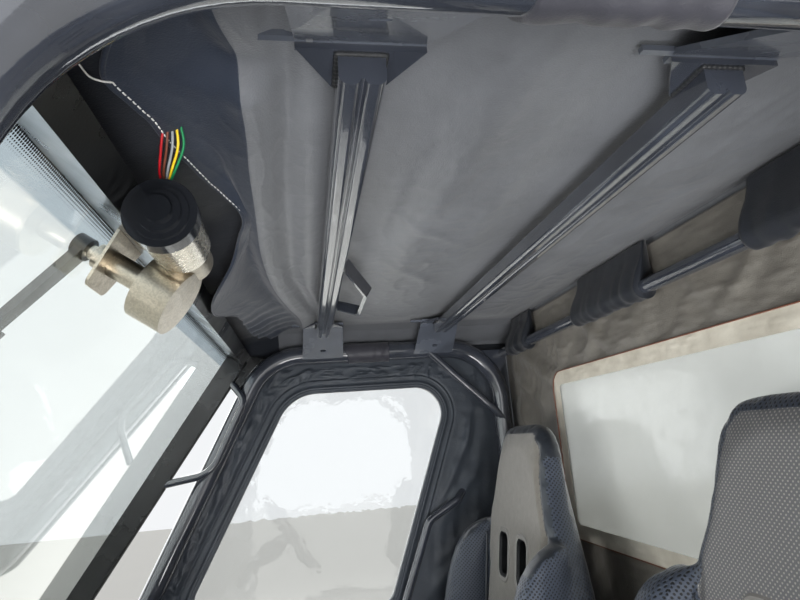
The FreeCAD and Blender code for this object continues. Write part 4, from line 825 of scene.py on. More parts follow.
class CAB_OT_canopy(bpy.types.Operator):
    """Roof sheet over the members, with its sag, and the loose header flap behind the windscreen"""
    bl_idname = "cab.canopy"
    bl_label = "Roof canopy"

    def execute(self, context):
        settings = context.scene.cab_canopy
        vinyl = coated_cloth("PVC-coated roof cloth", settings.colour[:], 0.38, 0.00022, 0.0009, streak=1.6)
        # The roof vinyl of the flap's front and of its hem is drawn dark navy here, as painted shade.
        lining = coated_cloth("header cloth painted in shade", linear("262c38"), 0.55, 0.0002, 0.0006)
        black = coated_cloth("roof front cloth painted in shade", linear("191c23"), 0.60, 0.0002, 0.0006)
        top = coated_cloth("weathered roof cloth", linear("2c2e31"), 0.5, 0.0002, 0.0006)
        roof = roof_sheet(settings.sag, settings.crinkle)
        # The roof's rows ahead of HEADER_CHANGE take the near-black cloth on their inner face: painted shade of the
        # front, behind the windscreen's top.
        change = int(np.searchsorted(roof[:, 0, 0], HEADER_CHANGE))
        grids = [(roof[:change + 1], False, False, 0), (roof[change:], False, False, 1)]
        piece = make_piece("roof_cloth", grids, "root", [top, top, vinyl, black], ("roof_canopy",),
                           close=False)
        outward(piece, (0, 0, 1))
        thicken(piece, 0.0015, -1, skip=2)
        flap, change = header_flap(settings.crinkle)
        # From the fold forward the flap takes the dark navy cloth: painted shade where it faces the dashboard.
        grids = [(flap[:, :change + 1], False, False, 0), (flap[:, change:], False, False, 1)]
        header = make_piece("header_flap", grids, "root", [vinyl, lining], close=False)
        outward(header, (0, 0, 1))
        thicken(header, 0.0014, -1)
        thread = insulated_wire("white polyester thread", linear("e6e6e2"))
        make_piece("header_stitches", header_stitches(flap), "root", [thread])
        edge = rod(spaced(along_flap(flap, -1), 0.005), ring(0.0023, 8), (0.3, 0.0, 1.0))
        make_piece("header_hem", [edge], "root", [lining])
        return {"FINISHED"}


def roof_section(count):
    """The canopy's section across the vehicle: side, sloped shoulder, level top, with rounded
    corners, as rows of y and height below the top."""
    half = CANOPY_HALF
    drop = CANOPY_TOP - CANOPY_HEM
    knots = np.array([(-half, -drop), (-half, -0.058), (-half + 0.004, -0.046), (-half + 0.035, -0.030),
                      (-half + 0.075, -0.0105), (-half + 0.115, -0.0015), (-half + 0.160, 0.0)])
    side = spaced(knots, 0.001)
    path = np.concatenate([side, side[::-1] * (-1, 1)])
    return spaced(path, ROOF_WIDTH / count)


def roof_height(x):
    """Height of the canopy's top along the vehicle: level, then falling to the windscreen."""
    fall = np.clip((x - CANOPY_BREAK) / (CANOPY_FRONT[0] - CANOPY_BREAK), 0, 1)
    return CANOPY_TOP - (CANOPY_TOP - CANOPY_FRONT[1]) * fall


ROOF_CREASES = (   # x, y of both ends, width, height, bow
    (-0.205, 0.56, -0.175, -0.45, 0.022, 0.0045, 0.012), (-0.150, 0.45, -0.120, -0.30, 0.012, -0.003, -0.006),
    (-0.270, 0.40, -0.300, -0.20, 0.018, 0.0035, 0.010), (-0.430, 0.50, -0.450, -0.40, 0.016, 0.0028, -0.008),
    (-0.500, 0.40, -0.520, -0.55, 0.014, -0.0022, 0.006), (-0.120, 0.20, -0.300, 0.02, 0.010, 0.0018, 0.004),
    (-0.110, 0.02, -0.290, -0.22, 0.012, 0.0018, -0.006))
ROOF_SUPPORTS = (CANOPY_REAR, -0.386, -0.334, -0.086, -0.034, CANOPY_FRONT[0])   # gusset plates' edges, in x


def roof_sheet(sag, crinkle):
    """Height is the section plus a sag, largest midway between supports, plus creases that run
    across the vehicle and small crinkles. The rear rows drop down behind the curtain's top edge and
    the front ones by a hem, and nothing sags through what lies under the level top."""
    section = roof_section(260)
    x = np.concatenate([np.full(9, CANOPY_REAR), np.linspace(CANOPY_REAR + 0.002, CANOPY_FRONT[0], 190),
                        np.full(3, CANOPY_FRONT[0] + 0.001)])
    rear_drop = np.concatenate([np.linspace(1, 0, 9), np.zeros(193)])[:, None]
    front_drop = np.concatenate([np.zeros(199), np.linspace(0.0, 0.008, 3)])[:, None]
    supports = np.array(ROOF_SUPPORTS)
    bay = np.clip(np.searchsorted(supports, x) - 1, 0, 4)
    share = np.clip((x - supports[bay]) / (supports[bay + 1] - supports[bay]), 0, 1)
    hang = np.where(np.isin(bay, (1, 3, 4)), 0.0, np.sin(np.pi * share) ** 1.3)[:, None]
    height = roof_height(x)[:, None] + section[:, 1]
    x, y = np.broadcast_arrays(x[:, None], section[:, 0])
    inside = step(0.60 - np.abs(y), 0.0, 0.12)
    small = crinkle * (ridged(ripples(x, y, 0.11, 5, along=0.55)) - 0.35)
    finer = crinkle * 0.5 * (ridged(ripples(x, y, 0.045, 8, along=1.9)) - 0.35)
    small = small + finer * step(bell(x + 0.21, 0.12), 0.3, 0.9)
    drop = (hang * (sag + creases(x, y, ROOF_CREASES)) + np.maximum(hang, 0.08) * small) * inside
    top = np.maximum(height - drop, np.minimum(height, CANOPY_TOP - 0.0155))
    z = top - rear_drop * (top - CANOPY_HEM - 0.001) - front_drop
    return surface(x, y, z)


HEADER_HEM = (   # y, x, z of the flap's free edge
    (-0.600, 0.060, 1.3840), (-0.546, 0.088, 1.3740), (-0.500, 0.097, 1.3700), (-0.387, 0.107, 1.3620),
    (-0.300, 0.108, 1.3570), (-0.178, 0.112, 1.3500), (-0.097, 0.133, 1.3320), (-0.021, 0.129, 1.3290),
    (0.079, 0.100, 1.3400), (0.114, 0.082, 1.3540), (0.176, 0.066, 1.3680), (0.245, 0.057, 1.3790),
    (0.278, 0.070, 1.3840), (0.322, 0.085, 1.3845), (0.365, 0.096, 1.3840), (0.405, 0.106, 1.3835),
    (0.441, 0.111, 1.3825), (0.470, 0.119, 1.3805), (0.502, 0.126, 1.3785), (0.550, 0.106, 1.3840),
    (0.600, 0.080, 1.3880))
HEADER_FOLD = (   # y, x, z of the long hanging fold behind it
    (-0.600, -0.014, 1.3930), (-0.399, -0.006, 1.3860), (-0.265, 0.014, 1.3800), (-0.108, 0.034, 1.3770),
    (0.085, 0.042, 1.3760), (0.264, 0.037, 1.3775), (0.362, 0.034, 1.3780), (0.419, 0.031, 1.3785),
    (0.474, 0.030, 1.3820), (0.510, 0.029, 1.3910), (0.560, 0.037, 1.3880), (0.620, 0.046, 1.3930))


def header_flap(crinkle):
    """For each place across the vehicle, a profile from the roof forward: level, down to a long
    hanging fold, up again, and down to the free hem. Both lines come from tables; creases gather
    at a pinched spot on the fold and at the far end."""
    across = np.linspace(FLAP_WIDTH / 2, -FLAP_WIDTH / 2, 330)
    hem = np.array(HEADER_HEM)
    fold = np.array(HEADER_FOLD)
    front_x, front_z = through(across, hem[:, 0], hem[:, 1:]).T
    fold_x, fold_z = through(across, fold[:, 0], fold[:, 1:]).T
    drop = 1.4015 - fold_z
    rise = np.clip((front_x - fold_x) / 0.050, 0, 1)
    knots = np.array((0.0, 0.10, 0.20, 0.32, 0.40, 0.48, 0.56, 0.74, 0.90, 1.0))
    level = np.full_like(across, 1.4025)
    profile_x = np.stack([np.minimum(fold_x - 0.060, -0.046), np.minimum(fold_x - 0.052, -0.022),
                          np.minimum(fold_x - 0.034, 0.004), fold_x - 0.016, fold_x - 0.006, fold_x + 0.003,
                          fold_x + 0.010 * rise + 0.007, fold_x * 0.42 + front_x * 0.58,
                          fold_x * 0.16 + front_x * 0.84, front_x])
    middle = fold_z * 0.42 + front_z * 0.58
    late = fold_z * 0.16 + front_z * 0.84
    profile_z = np.stack([level, level - 0.0085, level - 0.0030, fold_z + 0.30 * drop, fold_z + 0.04 * drop, fold_z,
                          fold_z + 0.0060 * rise + 0.001, middle + 0.0110 * rise, late + 0.0030 * rise, front_z])
    u = np.linspace(0, 1, 110)
    change = int(np.searchsorted(u, 0.47))
    x = through(u, knots, profile_x).T
    z = through(u, knots, profile_z).T
    y = across[:, None]
    near_fold = bell(x - fold_x[:, None], 0.020)
    z = z + 0.0040 * bell(y - 0.510, 0.016) * near_fold - 0.0030 * bell(y - 0.470, 0.014) * near_fold
    far = step(-y, 0.10, 0.45) * step(u, 0.45, 0.9)
    z = z + far * 0.0035 * np.sin(y * 105 + 3.0 * u)
    x = x + far * 0.003 * np.sin(y * 83 + 1.0)
    recess = step(0.22 - y, 0.0, 0.08) * step(y, -0.34, -0.10) * bell(x - fold_x[:, None] - 0.026, 0.014)
    crinkles = crinkle * 0.5 * (ridged(ripples(u[None] * 0.2, y, 0.10, 21, along=0.35)) - 0.35)
    z = z + 0.010 * recess - step(u, 0.0, 0.15) * crinkles
    return surface(x, y, np.minimum(z, roof_height(x) - 0.0028)), change


def along_flap(flap, row):
    """Points along one of the flap's lines, from side to side."""
    return through(np.linspace(0, 1, 400), np.linspace(0, 1, len(flap)), flap[:, row])


def header_stitches(flap):
    """Stitches in a line behind the hem, and the loose end of their thread."""
    hem = along_flap(flap, -1)
    shown = (hem[:, 1] > STITCHED[0]) & (hem[:, 1] < STITCHED[1])
    line = along_flap(flap, -4)[shown] + np.array((0, 0, -0.0016))
    loose = np.array(((0, 0, 0), (0.006, 0.006, -0.003), (0.013, 0.010, -0.002), (0.017, 0.018, 0.002)))
    end = line[0] + through(np.linspace(0, 1, 24), np.linspace(0, 1, 4), loose)
    return sewn(line, 0.0048, 0.0024, 0.0007) + [rod(end, ring(0.0008, 5), (0.2, 0.0, 1.0))]


def sewn(path, length, gap, radius):
    """Stitches along a path: each is a short round thread, its ends dipping into the cloth."""
    fineness = 0.0005
    fine = spaced(path, fineness)
    pitch = int(round((length + gap) / fineness))
    run = int(round(length / fineness))
    found = []
    for start in range(0, len(fine) - run, pitch):
        line = fine[start:start + run + 1:max(1, run // 4)].copy()
        line[[0, -1], 2] += radius * 1.5
        found.append(rod(line, ring(radius, 5), (0.2, 0.0, 1.0)))
    return found


class CAB_OT_wraps(bpy.types.Operator):
    """Cloth sleeves round the rear crossbar and the side rails"""
    bl_idname = "cab.wraps"
    bl_label = "Bar sleeves"

    def execute(self, context):
        cloth = coated_cloth("matt sleeve cloth", linear("1b1e24"), 0.62, 0.0002, 0.0006)
        grids = [(bar_sleeve(low, high), False, True, 0) for low, high in WRAPS]
        make_piece("bar_sleeves", grids, "root", [cloth], ("bar_wraps",))
        grids = [(rail_sleeve(side), False, True, 0) for side in (-1, 1)]
        smooth = coated_cloth("smooth sleeve cloth", linear("34343a"), 0.42, 0.0001, 0.0006)
        make_piece("rail_sleeves", grids, "root", [smooth])
        return {"FINISHED"}


def bar_sleeve(low, high):
    """A loop of cloth hung from the roof round the crossbar: a drop-shaped section, round at the
    bar and narrower above it, whose radius wanders by a millimetre."""
    y = np.linspace(low, high, 60)[:, None]
    angle = round_angles(48)
    radius = 0.0190 + 0.0010 * ripples(y * 3, angle * 0.02, 0.1, 31)
    upper = step(-np.cos(angle), 0.2, 1.0) * step(-np.cos(angle), 0.0, 1.0)
    x = REAR_BAR[0] + radius * np.sin(angle) - 0.012 * upper
    z = REAR_BAR[1] - radius * np.cos(angle)
    z = z + upper * (1.4005 - REAR_BAR[1] - radius)
    squeeze = 1 - 0.55 * step(z, REAR_BAR[1] + 0.016, REAR_BAR[1] + 0.060)
    centre = REAR_BAR[0] - 0.012 * step(z, REAR_BAR[1] + 0.005, 1.39)
    return surface(centre + (x - centre) * squeeze, y, z)


def rail_sleeve(side):
    """Cloth laid round a side rail's inner half, thinning to nothing on the side of the door, with
    a slanted front end."""
    angle = round_angles(40)
    share = np.linspace(0, 1, 50)[:, None]
    inward = step(-np.cos(angle), -0.55, 0.1)
    x = -0.121 - 0.117 * share + 0.010 * np.sin(angle) * (1 - share)
    radius = 0.0253 + inward * (0.0020 + 0.0005 * ripples(x * 2, angle * 0.02, 0.06, 35))
    return surface(x, side * (HOOP_Y + radius * np.cos(angle)), RAIL_Z + radius * np.sin(angle))


class CAB_OT_curtain(bpy.types.Operator):
    """Rear curtain with its creased cloth, tan window tape and hazy window"""
    bl_idname = "cab.curtain"
    bl_label = "Rear curtain"

    def execute(self, context):
        # The curtain is the roof's vinyl; its paler colour is painted light shining through the cloth.
        cloth = coated_cloth("curtain vinyl painted paler as light through it", linear("6a665f"), 0.42, 0.0002, 0.0010)
        black = coated_cloth("matt corner cloth", linear("202328"), 0.5, 0.0002, 0.0006)
        grid, area = curtain_shell()
        piece = make_piece("rear_curtain_cloth", [(grid, True, True, 0)], "root", [cloth],
                           ("rear_curtain",))
        corners = [(corner_return(side), False, True, 0) for side in (-1, 1)]
        make_piece("curtain_corners", corners, "root", [black])
        dress(clear_film("hazy rear film", linear("e9ebe6"), 0.34, 0.0012), "rear_window")
        tape = make_piece("rear_window_tape", [(window_tape(), True, True, 0)], "root",
                          [aged_strip()], ("rear_window_strip",))
        sharpen(tape, 40)
        edge, _ = fan([(a, b, r + 0.029) for a, b, r in grown(REAR_WINDOW, 0.029)], 0.006, 0.3)
        line = surface(CURTAIN_X + 0.0066, edge[:, 0], edge[:, 1])
        thread = swept(line, ring(0.0011, 6), (1.0, 0.0, 0.0), closed=True)
        make_piece("tape_thread", [(thread, True, True, 0)], "root",
                   [insulated_wire("rust-brown thread", linear("7a4a36"))])
        return {"FINISHED"}


def grown(corners, amount):
    """A rectangle's corners moved outwards by an amount, with the same radii."""
    spots = np.array([corner[:2] for corner in corners])
    centre = spots.mean(axis=0)
    moved = spots + np.sign(spots - centre) * amount
    return [(a, b, corner[2]) for (a, b), corner in zip(moved.tolist(), corners)]


CURTAIN_CREASES = (   # y, z of both ends, width, height, bow
    (-0.640, 1.330, -0.380, 1.195, 0.020, 0.010, 0.010), (-0.660, 1.270, -0.400, 1.140, 0.018, 0.008, -0.012),
    (-0.655, 1.190, -0.440, 0.960, 0.022, 0.007, 0.010), (-0.560, 1.360, -0.360, 1.230, 0.012, -0.005, 0.0),
    (0.640, 1.330, 0.380, 1.195, 0.020, 0.009, -0.010), (0.660, 1.250, 0.400, 1.120, 0.018, 0.007, 0.012),
    (-0.300, 1.360, -0.120, 1.240, 0.014, 0.006, 0.010), (-0.120, 1.330, -0.220, 1.240, 0.012, 0.005, -0.006),
    (0.060, 1.370, 0.200, 1.240, 0.016, 0.006, 0.010), (0.300, 1.340, 0.180, 1.250, 0.012, 0.005, 0.008),
    (-0.640, 0.700, -0.380, 0.860, 0.022, 0.006, 0.010), (0.640, 0.700, 0.380, 0.860, 0.022, 0.006, -0.010),
    (-0.300, 0.860, 0.250, 0.830, 0.014, 0.004, 0.010))


def curtain_shell():
    """Closed sheet between the window's edge and the curtain's outline, a fan of rows. Its inner
    face stands out by diagonal corner folds, long slack creases and crinkles, except under the
    window's tape and along its foot; its outer face follows 2.5 mm behind."""
    points, normals = fan(REAR_WINDOW, 0.012, 0.045)
    boundary, _ = fan(CURTAIN_OUTLINE, 0.01, 0.1)
    far = reach(points, normals, boundary)[:, None]
    share = np.concatenate([np.linspace(0, 0.1, 8)[:-1], np.linspace(0.1, 1, 60)])
    y, z = np.moveaxis(points[:, None] + normals[:, None] * (far * share)[..., None], -1, 0)
    rim = step(far * share, 0.029, 0.042) * (1 - step(share, 0.93, 1.0))
    crinkles = (0.0032 * (ridged(ripples(y, z, 0.08, 41)) - 0.3) + 0.0016 * ripples(y, z, 0.14, 42)
                + 0.0016 * (ridged(ripples(y, z, 0.04, 43)) - 0.3) * step(z, 1.18, 1.26))
    depth = np.clip(rim * (creases(y, z, CURTAIN_CREASES) + crinkles), -0.002, 0.016) * (1 - step(0.70 - z, 0.0, 0.03))
    inner = surface(CURTAIN_X + 0.001 + depth, y, z)
    outer = surface(CURTAIN_X - 0.0015 + depth, y, z)
    return two_sided(inner, outer), flat_area(np.concatenate([inner, inner[:1]]))


def corner_return(side):
    """The curtain's side hem turned forward round the corner: a flat strip outside the rear leg,
    which keeps its gap from the door's edge and widens under the roof along the door's round
    corner."""
    z = np.linspace(0.640, 1.352, 120)[:, None]
    hub_x, hub_z = DOOR_REAR + DOOR_CORNER, DOOR_TOP - DOOR_CORNER
    bend = DOOR_CORNER + DOOR_GAP
    arc = np.sqrt(np.maximum(bend ** 2 - np.clip(z - hub_z, 0, bend) ** 2, 0))
    front = np.where(z < hub_z, DOOR_REAR - DOOR_GAP, hub_x - arc)
    front = np.where(z > DOOR_TOP + DOOR_GAP - 0.0005, hub_x, front)
    rear = CURTAIN_X - 0.0025
    x = rear + (front - rear) * np.linspace(0, 1, 14)
    inner = surface(x, side * 0.7045 + 0.0006 * np.sin(z * 47), z)
    return two_sided(inner, inner + np.array((0, side * 0.0016, 0)))


def window_tape():
    """Flat tape round the window: wavy by a millimetre or two, closed all round."""
    points, normals = fan(REAR_WINDOW, 0.008, 0.12)
    share = np.linspace(-0.001, TAPE_WIDTH, 12)
    y, z = np.moveaxis(points[:, None] + normals[:, None] * share[:, None], -1, 0)
    wave = 0.0021 * ridged(ripples(y, z, 0.040, 52)) * step(share, -0.001, 0.012)
    front = surface(CURTAIN_X + 0.0042 + wave, y, z)
    return two_sided(front, surface(CURTAIN_X + 0.0034 + wave * 0.5, y, z))


class CAB_OT_doors(bpy.types.Operator):
    """Both soft doors: ribbed window surround, seams, padded edge and gathered quarter"""
    bl_idname = "cab.doors"
    bl_label = "Soft doors"

    def execute(self, context):
        settings = context.scene.cab_doors
        cloth = coated_cloth("PVC-coated door cloth", settings.colour[:], 0.40, 0.00022, 0.0008)
        film = clear_film("clear door film", linear("f6f8f8"), 0.03, 0.0006)
        grid = door_shell(settings.rib)
        for name, side, turn in (("left", 1, LEFT_DOOR_TURN), ("right", -1, 0.0)):
            make_piece("door_cloth_" + name, [(hung(grid, side, turn), True, True, 0)], name + "_door",
                       [cloth], ("door_skin_" + name, "door_rim_" + name))
            dress(film, "door_window_" + name)
        return {"FINISHED"}


def hung(points, side, turn):
    """Puts a door drawn shut on the left onto its own side, and swings it about its hinges."""
    placed = points * np.array((1, side, 1))
    pivot = np.array((HINGE[0], side * HINGE[1], 0))
    cos, sin = np.cos(turn), np.sin(turn)
    turned = np.array(((cos, -sin, 0), (sin, cos, 0), (0, 0, 1)))
    return (placed - pivot) @ turned.T + pivot


def door_edge(z):
    """The slanted front edge, which follows the front leg."""
    return RAIL_FRONT_X + (RAIL_Z - z) * LEG_SLOPE + DOOR_LAP / np.cos(np.arctan(LEG_SLOPE))


def door_outline():
    """Corners of the whole door: x, z and radius."""
    knee_x = KNEE_X + DOOR_LAP
    knee_z = KNEE_Z + (door_edge(KNEE_Z) - knee_x) / LEG_SLOPE
    return [(DOOR_REAR, DOOR_FOOT, 0.060), (DOOR_REAR, DOOR_TOP, DOOR_CORNER), (door_edge(DOOR_TOP), DOOR_TOP, 0.120),
            (knee_x, knee_z, 0.060), (knee_x, DOOR_FOOT, 0.040)]


DOOR_CREASES = (   # x, z of both ends, width, height, bow
    (-0.535, 1.060, -0.340, 0.860, 0.016, 0.0090, 0.012), (-0.540, 0.960, -0.330, 0.780, 0.014, 0.0080, -0.010),
    (-0.530, 0.860, -0.300, 0.700, 0.018, 0.0085, 0.014), (-0.470, 1.150, -0.330, 0.900, 0.012, 0.0060, -0.010),
    (-0.540, 0.760, -0.330, 0.640, 0.016, 0.0070, 0.010), (-0.500, 1.230, -0.440, 1.060, 0.012, 0.0050, 0.006),
    (-0.420, 0.640, -0.180, 0.600, 0.014, 0.0060, -0.010), (-0.480, 0.600, -0.220, 0.500, 0.016, 0.0060, 0.012),
    (-0.250, 0.560, 0.050, 0.500, 0.018, 0.0050, 0.012), (0.050, 0.600, 0.300, 0.520, 0.018, 0.0045, -0.010),
    (-0.300, 0.300, 0.100, 0.240, 0.020, 0.0040, 0.015), (0.150, 0.350, 0.360, 0.450, 0.016, 0.0040, 0.010))


def room_beside_hoop(x, z):
    """How far the door's inner face may stand out: its gap to the side hoop's round tube, less a
    millimetre. The front leg, its upright, the rail and the rear leg count as straight lines, each
    a little wider than it is, and all of the rail's two bends as the tube's outer side."""
    off_leg = np.abs(x - RAIL_FRONT_X - (RAIL_Z - z) * LEG_SLOPE) * np.cos(np.arctan(LEG_SLOPE))
    off_leg = np.where(z > KNEE_Z - 0.06, off_leg, 1.0)
    off_upright = np.where(z < KNEE_Z + 0.10, np.abs(x - KNEE_X), 1.0)
    off_rest = np.minimum(np.abs(z - RAIL_Z), np.abs(x - REAR_LEG_X))
    off = np.maximum(np.minimum(np.minimum(off_leg, off_upright), off_rest) - 0.002, 0.0)
    for bend_x in (RAIL_FRONT_X, REAR_LEG_X):
        off = np.where(np.hypot(x - bend_x, z - RAIL_Z) < HOOP_BEND, 0.0, off)
    return DOOR_INNER_Y - 0.001 - HOOP_Y - np.sqrt(np.maximum(TUBE_R ** 2 - off ** 2, 0))


def door_shell(rib):
    """Closed shell round the window opening, a fan of rows from its edge out to the door's outline,
    between the relief of its inner face and that of its outer one."""
    points, normals = fan(DOOR_WINDOW, 0.009, 0.030)
    boundary, _ = fan(door_outline(), 0.01, 0.06)
    far = reach(points, normals, boundary)[:, None]
    near = np.arange(0, 0.0461, 0.0019)
    share = np.linspace(0, 1, 46)[1:] ** 0.9
    distance = np.concatenate([np.repeat(near[None], len(far), axis=0), near[-1] + (far - near[-1]) * share], axis=1)
    x, z = np.moveaxis(points[:, None] + normals[:, None] * distance[..., None], -1, 0)
    left = far - distance
    front = step(normals[:, 0], 0.55, 0.85)[:, None]
    soft = step(distance, 0.036, 0.070) * step(left, 0.006, 0.05)
    inside = np.minimum(inner_relief(x, z, distance, left, front, soft, rib), room_beside_hoop(x, z))
    inner = surface(x, DOOR_INNER_Y - np.clip(inside, -0.003, 0.02), z)
    outer = surface(x, DOOR_INNER_Y + DOOR_THICK - 0.008 + outer_relief(x, z, distance, left, soft), z)
    return two_sided(inner, outer)


def inner_relief(x, z, distance, left, front, soft, rib):
    """How far the inner face stands out: ribs at fixed distances from the window, a seam round
    them, one under the wrinkled top strip and one low down, a lumpy pad along the front leg, and
    creases from a table with crinkles. distance is from the window and left to the door's edge;
    front is 1 on the front strip, and soft where the cloth is loose."""
    ribs = step(distance, 0.0, 0.003) * (1 - step(distance, 0.017, 0.020))
    ribs = ribs * (0.0036 + rib * np.cos(2 * np.pi * (distance - 0.002) / DOOR_RIB_PITCH))
    seam = bell(distance - 0.032, 0.0022) * 0.0022 - bell(distance - 0.0365, 0.003) * 0.0018
    lumps = 0.7 * ridged(ripples(x, z, 0.046, 61)) + 0.3 * ripples(x, z, 0.030, 66)
    pad = front * step(distance, 0.036, 0.050) * step(left, 0.004, 0.024) * (0.0034 + 0.0052 * lumps)
    low, high = DOOR_TOP_STRIP
    top_seam = bell(z - low, 0.0024) * 0.0022 - bell(z - low - 0.0045, 0.003) * 0.0015
    top_strip = step(z, low, low + 0.010) * step(high - z, 0.0, 0.012) * step(0.30 - np.abs(x + 0.13), 0.0, 0.05)
    wrinkles = 0.0070 * ridged(ripples(x + 0.8 * z, z, 0.065, 62, along=0.8))
    free = np.minimum(step(left, 0.075, 0.12) + front * 0.35, 1)
    crinkles = 0.0013 * (ridged(ripples(x, z, 0.10, 63, along=1.4)) - 0.3) + 0.0008 * ripples(x, z, 0.05, 64)
    low_seam = bell(z - DOOR_LOW_SEAM, 0.0026) * 0.0020
    return (ribs + seam * step(left, 0.01, 0.03) + pad + top_seam * soft ** 0.5 * (1 - front) + top_strip * wrinkles
            + soft * (free * creases(x, z, DOOR_CREASES) + crinkles + low_seam))


def outer_relief(x, z, distance, left, soft):
    """How far the outer face stands out: a slight crown, a welt round the window, two seams, and a
    faint echo of the inner face's creases."""
    crown = 0.006 * step(left, 0.0, 0.05) * step(distance, 0.03, 0.12)
    welt = 0.0014 * step(distance, 0.0, 0.004) * (1 - step(distance, 0.028, 0.031))
    seams = bell(distance - 0.036, 0.0022) * 0.0012 + bell(z - DOOR_LOW_SEAM, 0.003) * 0.0015 * soft
    crinkles = 0.0010 * (ridged(ripples(x, z, 0.14, 65)) - 0.3)
    return crown + welt + seams + soft * (crinkles + 0.25 * creases(x, z, DOOR_CREASES))


class CAB_OT_seats(bpy.types.Operator):
    """Padded seat backs and cushions, swollen by a cloth simulation, with seams and slot bezels"""
    bl_idname = "cab.seats"
    bl_label = "Seats"

    def execute(self, context):
        settings = context.scene.cab_seats
        cloth = brushed_seat_cloth(settings.panel[:])
        smooth = coated_cloth("smooth seat vinyl", settings.vinyl[:], 0.33, 0.00012, 0.0004)
        punched = dotted_seat_cover("punched seat vinyl", linear("3a404b"), linear("08090a"), 0.0055, 0.28,
                                    0.0006, 0.42)
        woven = dotted_seat_cover("dotted seat weave", linear("5a5a5c"), linear("8c8a83"), 0.0048, 0.24,
                                  -0.0003, 0.6)
        for name, side, face, top in SEATS:
            near = name == "left"
            materials = [woven, punched, punched] if near else [cloth, smooth, punched]
            back = swollen("seat_back_pad_" + name, back_forms(), 0.008, settings.swell, settings.frames)
            finish_back(back, 0.0015 if near else 0.0045)
            level = face_level(back)
            slot_frames(name, level, side, face, top)
            wing_piping(name, level, side, face, top, smooth)
            lean_back(back, side, face, top)
            cover(back, "seat_back_" + name, materials)
            cushion = swollen("seat_cushion_pad_" + name, cushion_forms(face, top), 0.008, settings.swell,
                              settings.frames)
            finish_cushion(cushion, face, top)
            move_mesh(cushion, np.eye(3), (0, side * SEAT_Y, 0))
            cover(cushion, "seat_cushion_" + name, materials)
        return {"FINISHED"}


def cover(pad, node, materials):
    """Gives a pad its covers, and puts it in its node's place."""
    for material in materials:
        pad.data.materials.append(material)
    settle(pad, "root", (node,))


BACK_HALF_WIDTH = (   # drop below the top, half the width there
    (0.0, 0.056), (-0.002, 0.074), (-0.005, 0.086), (-0.010, 0.098), (-0.020, 0.114), (-0.040, 0.132),
    (-0.060, 0.141), (-0.100, 0.151), (-0.142, 0.166), (-0.207, 0.198), (-0.290, 0.236), (-0.380, 0.250),
    (-0.762, 0.232))
CUSHION_BLOCKS = (   # y of the middle, half width, foot, top, length
    (0.0, 0.240, 0.341, 0.428, 0.452), (-0.205, 0.034, 0.345, 0.446, 0.440), (0.205, 0.034, 0.345, 0.446, 0.440))


def back_half_width(z):
    """Half the seat back's width at a drop below its top, through a short table."""
    table = np.array(BACK_HALF_WIDTH[::-1])
    return np.interp(z, table[:, 0], table[:, 1])


def back_forms():
    """The seat back before it swells: a slab whose section at each height is a superellipse, and a
    wing along each side that stands forward between its shoulder and its foot."""
    angle = round_angles(64)
    wide = squared(np.cos(angle), 0.27)
    deep = squared(np.sin(angle), 0.38)
    rows = np.concatenate([np.linspace(0.0, -0.02, 9), np.linspace(-0.024, -0.06, 8), np.linspace(-0.07, -0.758, 44)])
    rows = rows[:, None]
    half = back_half_width(rows) + 0.002
    thick = np.interp(-rows, (0, 0.762), (0.048, 0.115))
    crown = 0.40 + 0.60 * np.sqrt(1 - np.clip(1 + rows / 0.026, 0, 1) ** 2)
    x = -thick / 2 + (thick / 2 - 0.006) * crown * deep
    forms = [surface(x, half * wide, rows + 0.009 * step(rows, -0.09, -0.005))]
    drop = np.linspace(-0.208, -0.640, 42)
    forward = through(-drop, (0.208, 0.226, 0.258, 0.310, 0.380, 0.470, 0.560, 0.600, 0.640),
                      (0.000, 0.030, 0.056, 0.077, 0.088, 0.090, 0.080, 0.055, 0.004))
    for hand in (-1, 1):
        x = -0.02 + (forward + 0.02)[:, None] * (0.5 + 0.5 * deep)
        y = hand * 0.205 + 0.026 * wide + hand * 0.012 * (x / 0.09)
        forms.append(surface(x, y, drop[:, None]))
    return forms


def cushion_rear(face, top):
    """Where the leaning back meets the cushion."""
    return face + (top - CUSHION_TOP) * np.tan(RECLINE)


def cushion_forms(face, top):
    """The seat cushion before it swells: a rounded block whose rear follows the leaning back, with
    a bolster along each side."""
    angle = round_angles(64)
    wide = squared(np.cos(angle), 0.35)
    tall = squared(np.sin(angle), 0.45)
    run = np.linspace(0, 1, 48)[:, None]
    close = np.clip(np.minimum(run, 1 - run) / 0.06, 0, 1) ** 0.45
    forms = []
    for middle, half, low, high, length in CUSHION_BLOCKS:
        y = middle + half * (0.90 + 0.10 * close) * wide
        z = (low + high) / 2 + 0.010 * run + (high - low) / 2 * (0.55 + 0.45 * close) * tall
        slant = 0.014 * (1 - (z - low) / (high - low)) * (1 - run)
        forms.append(surface(cushion_rear(face, top) + 0.010 + length * run - slant, y, z))
    return forms


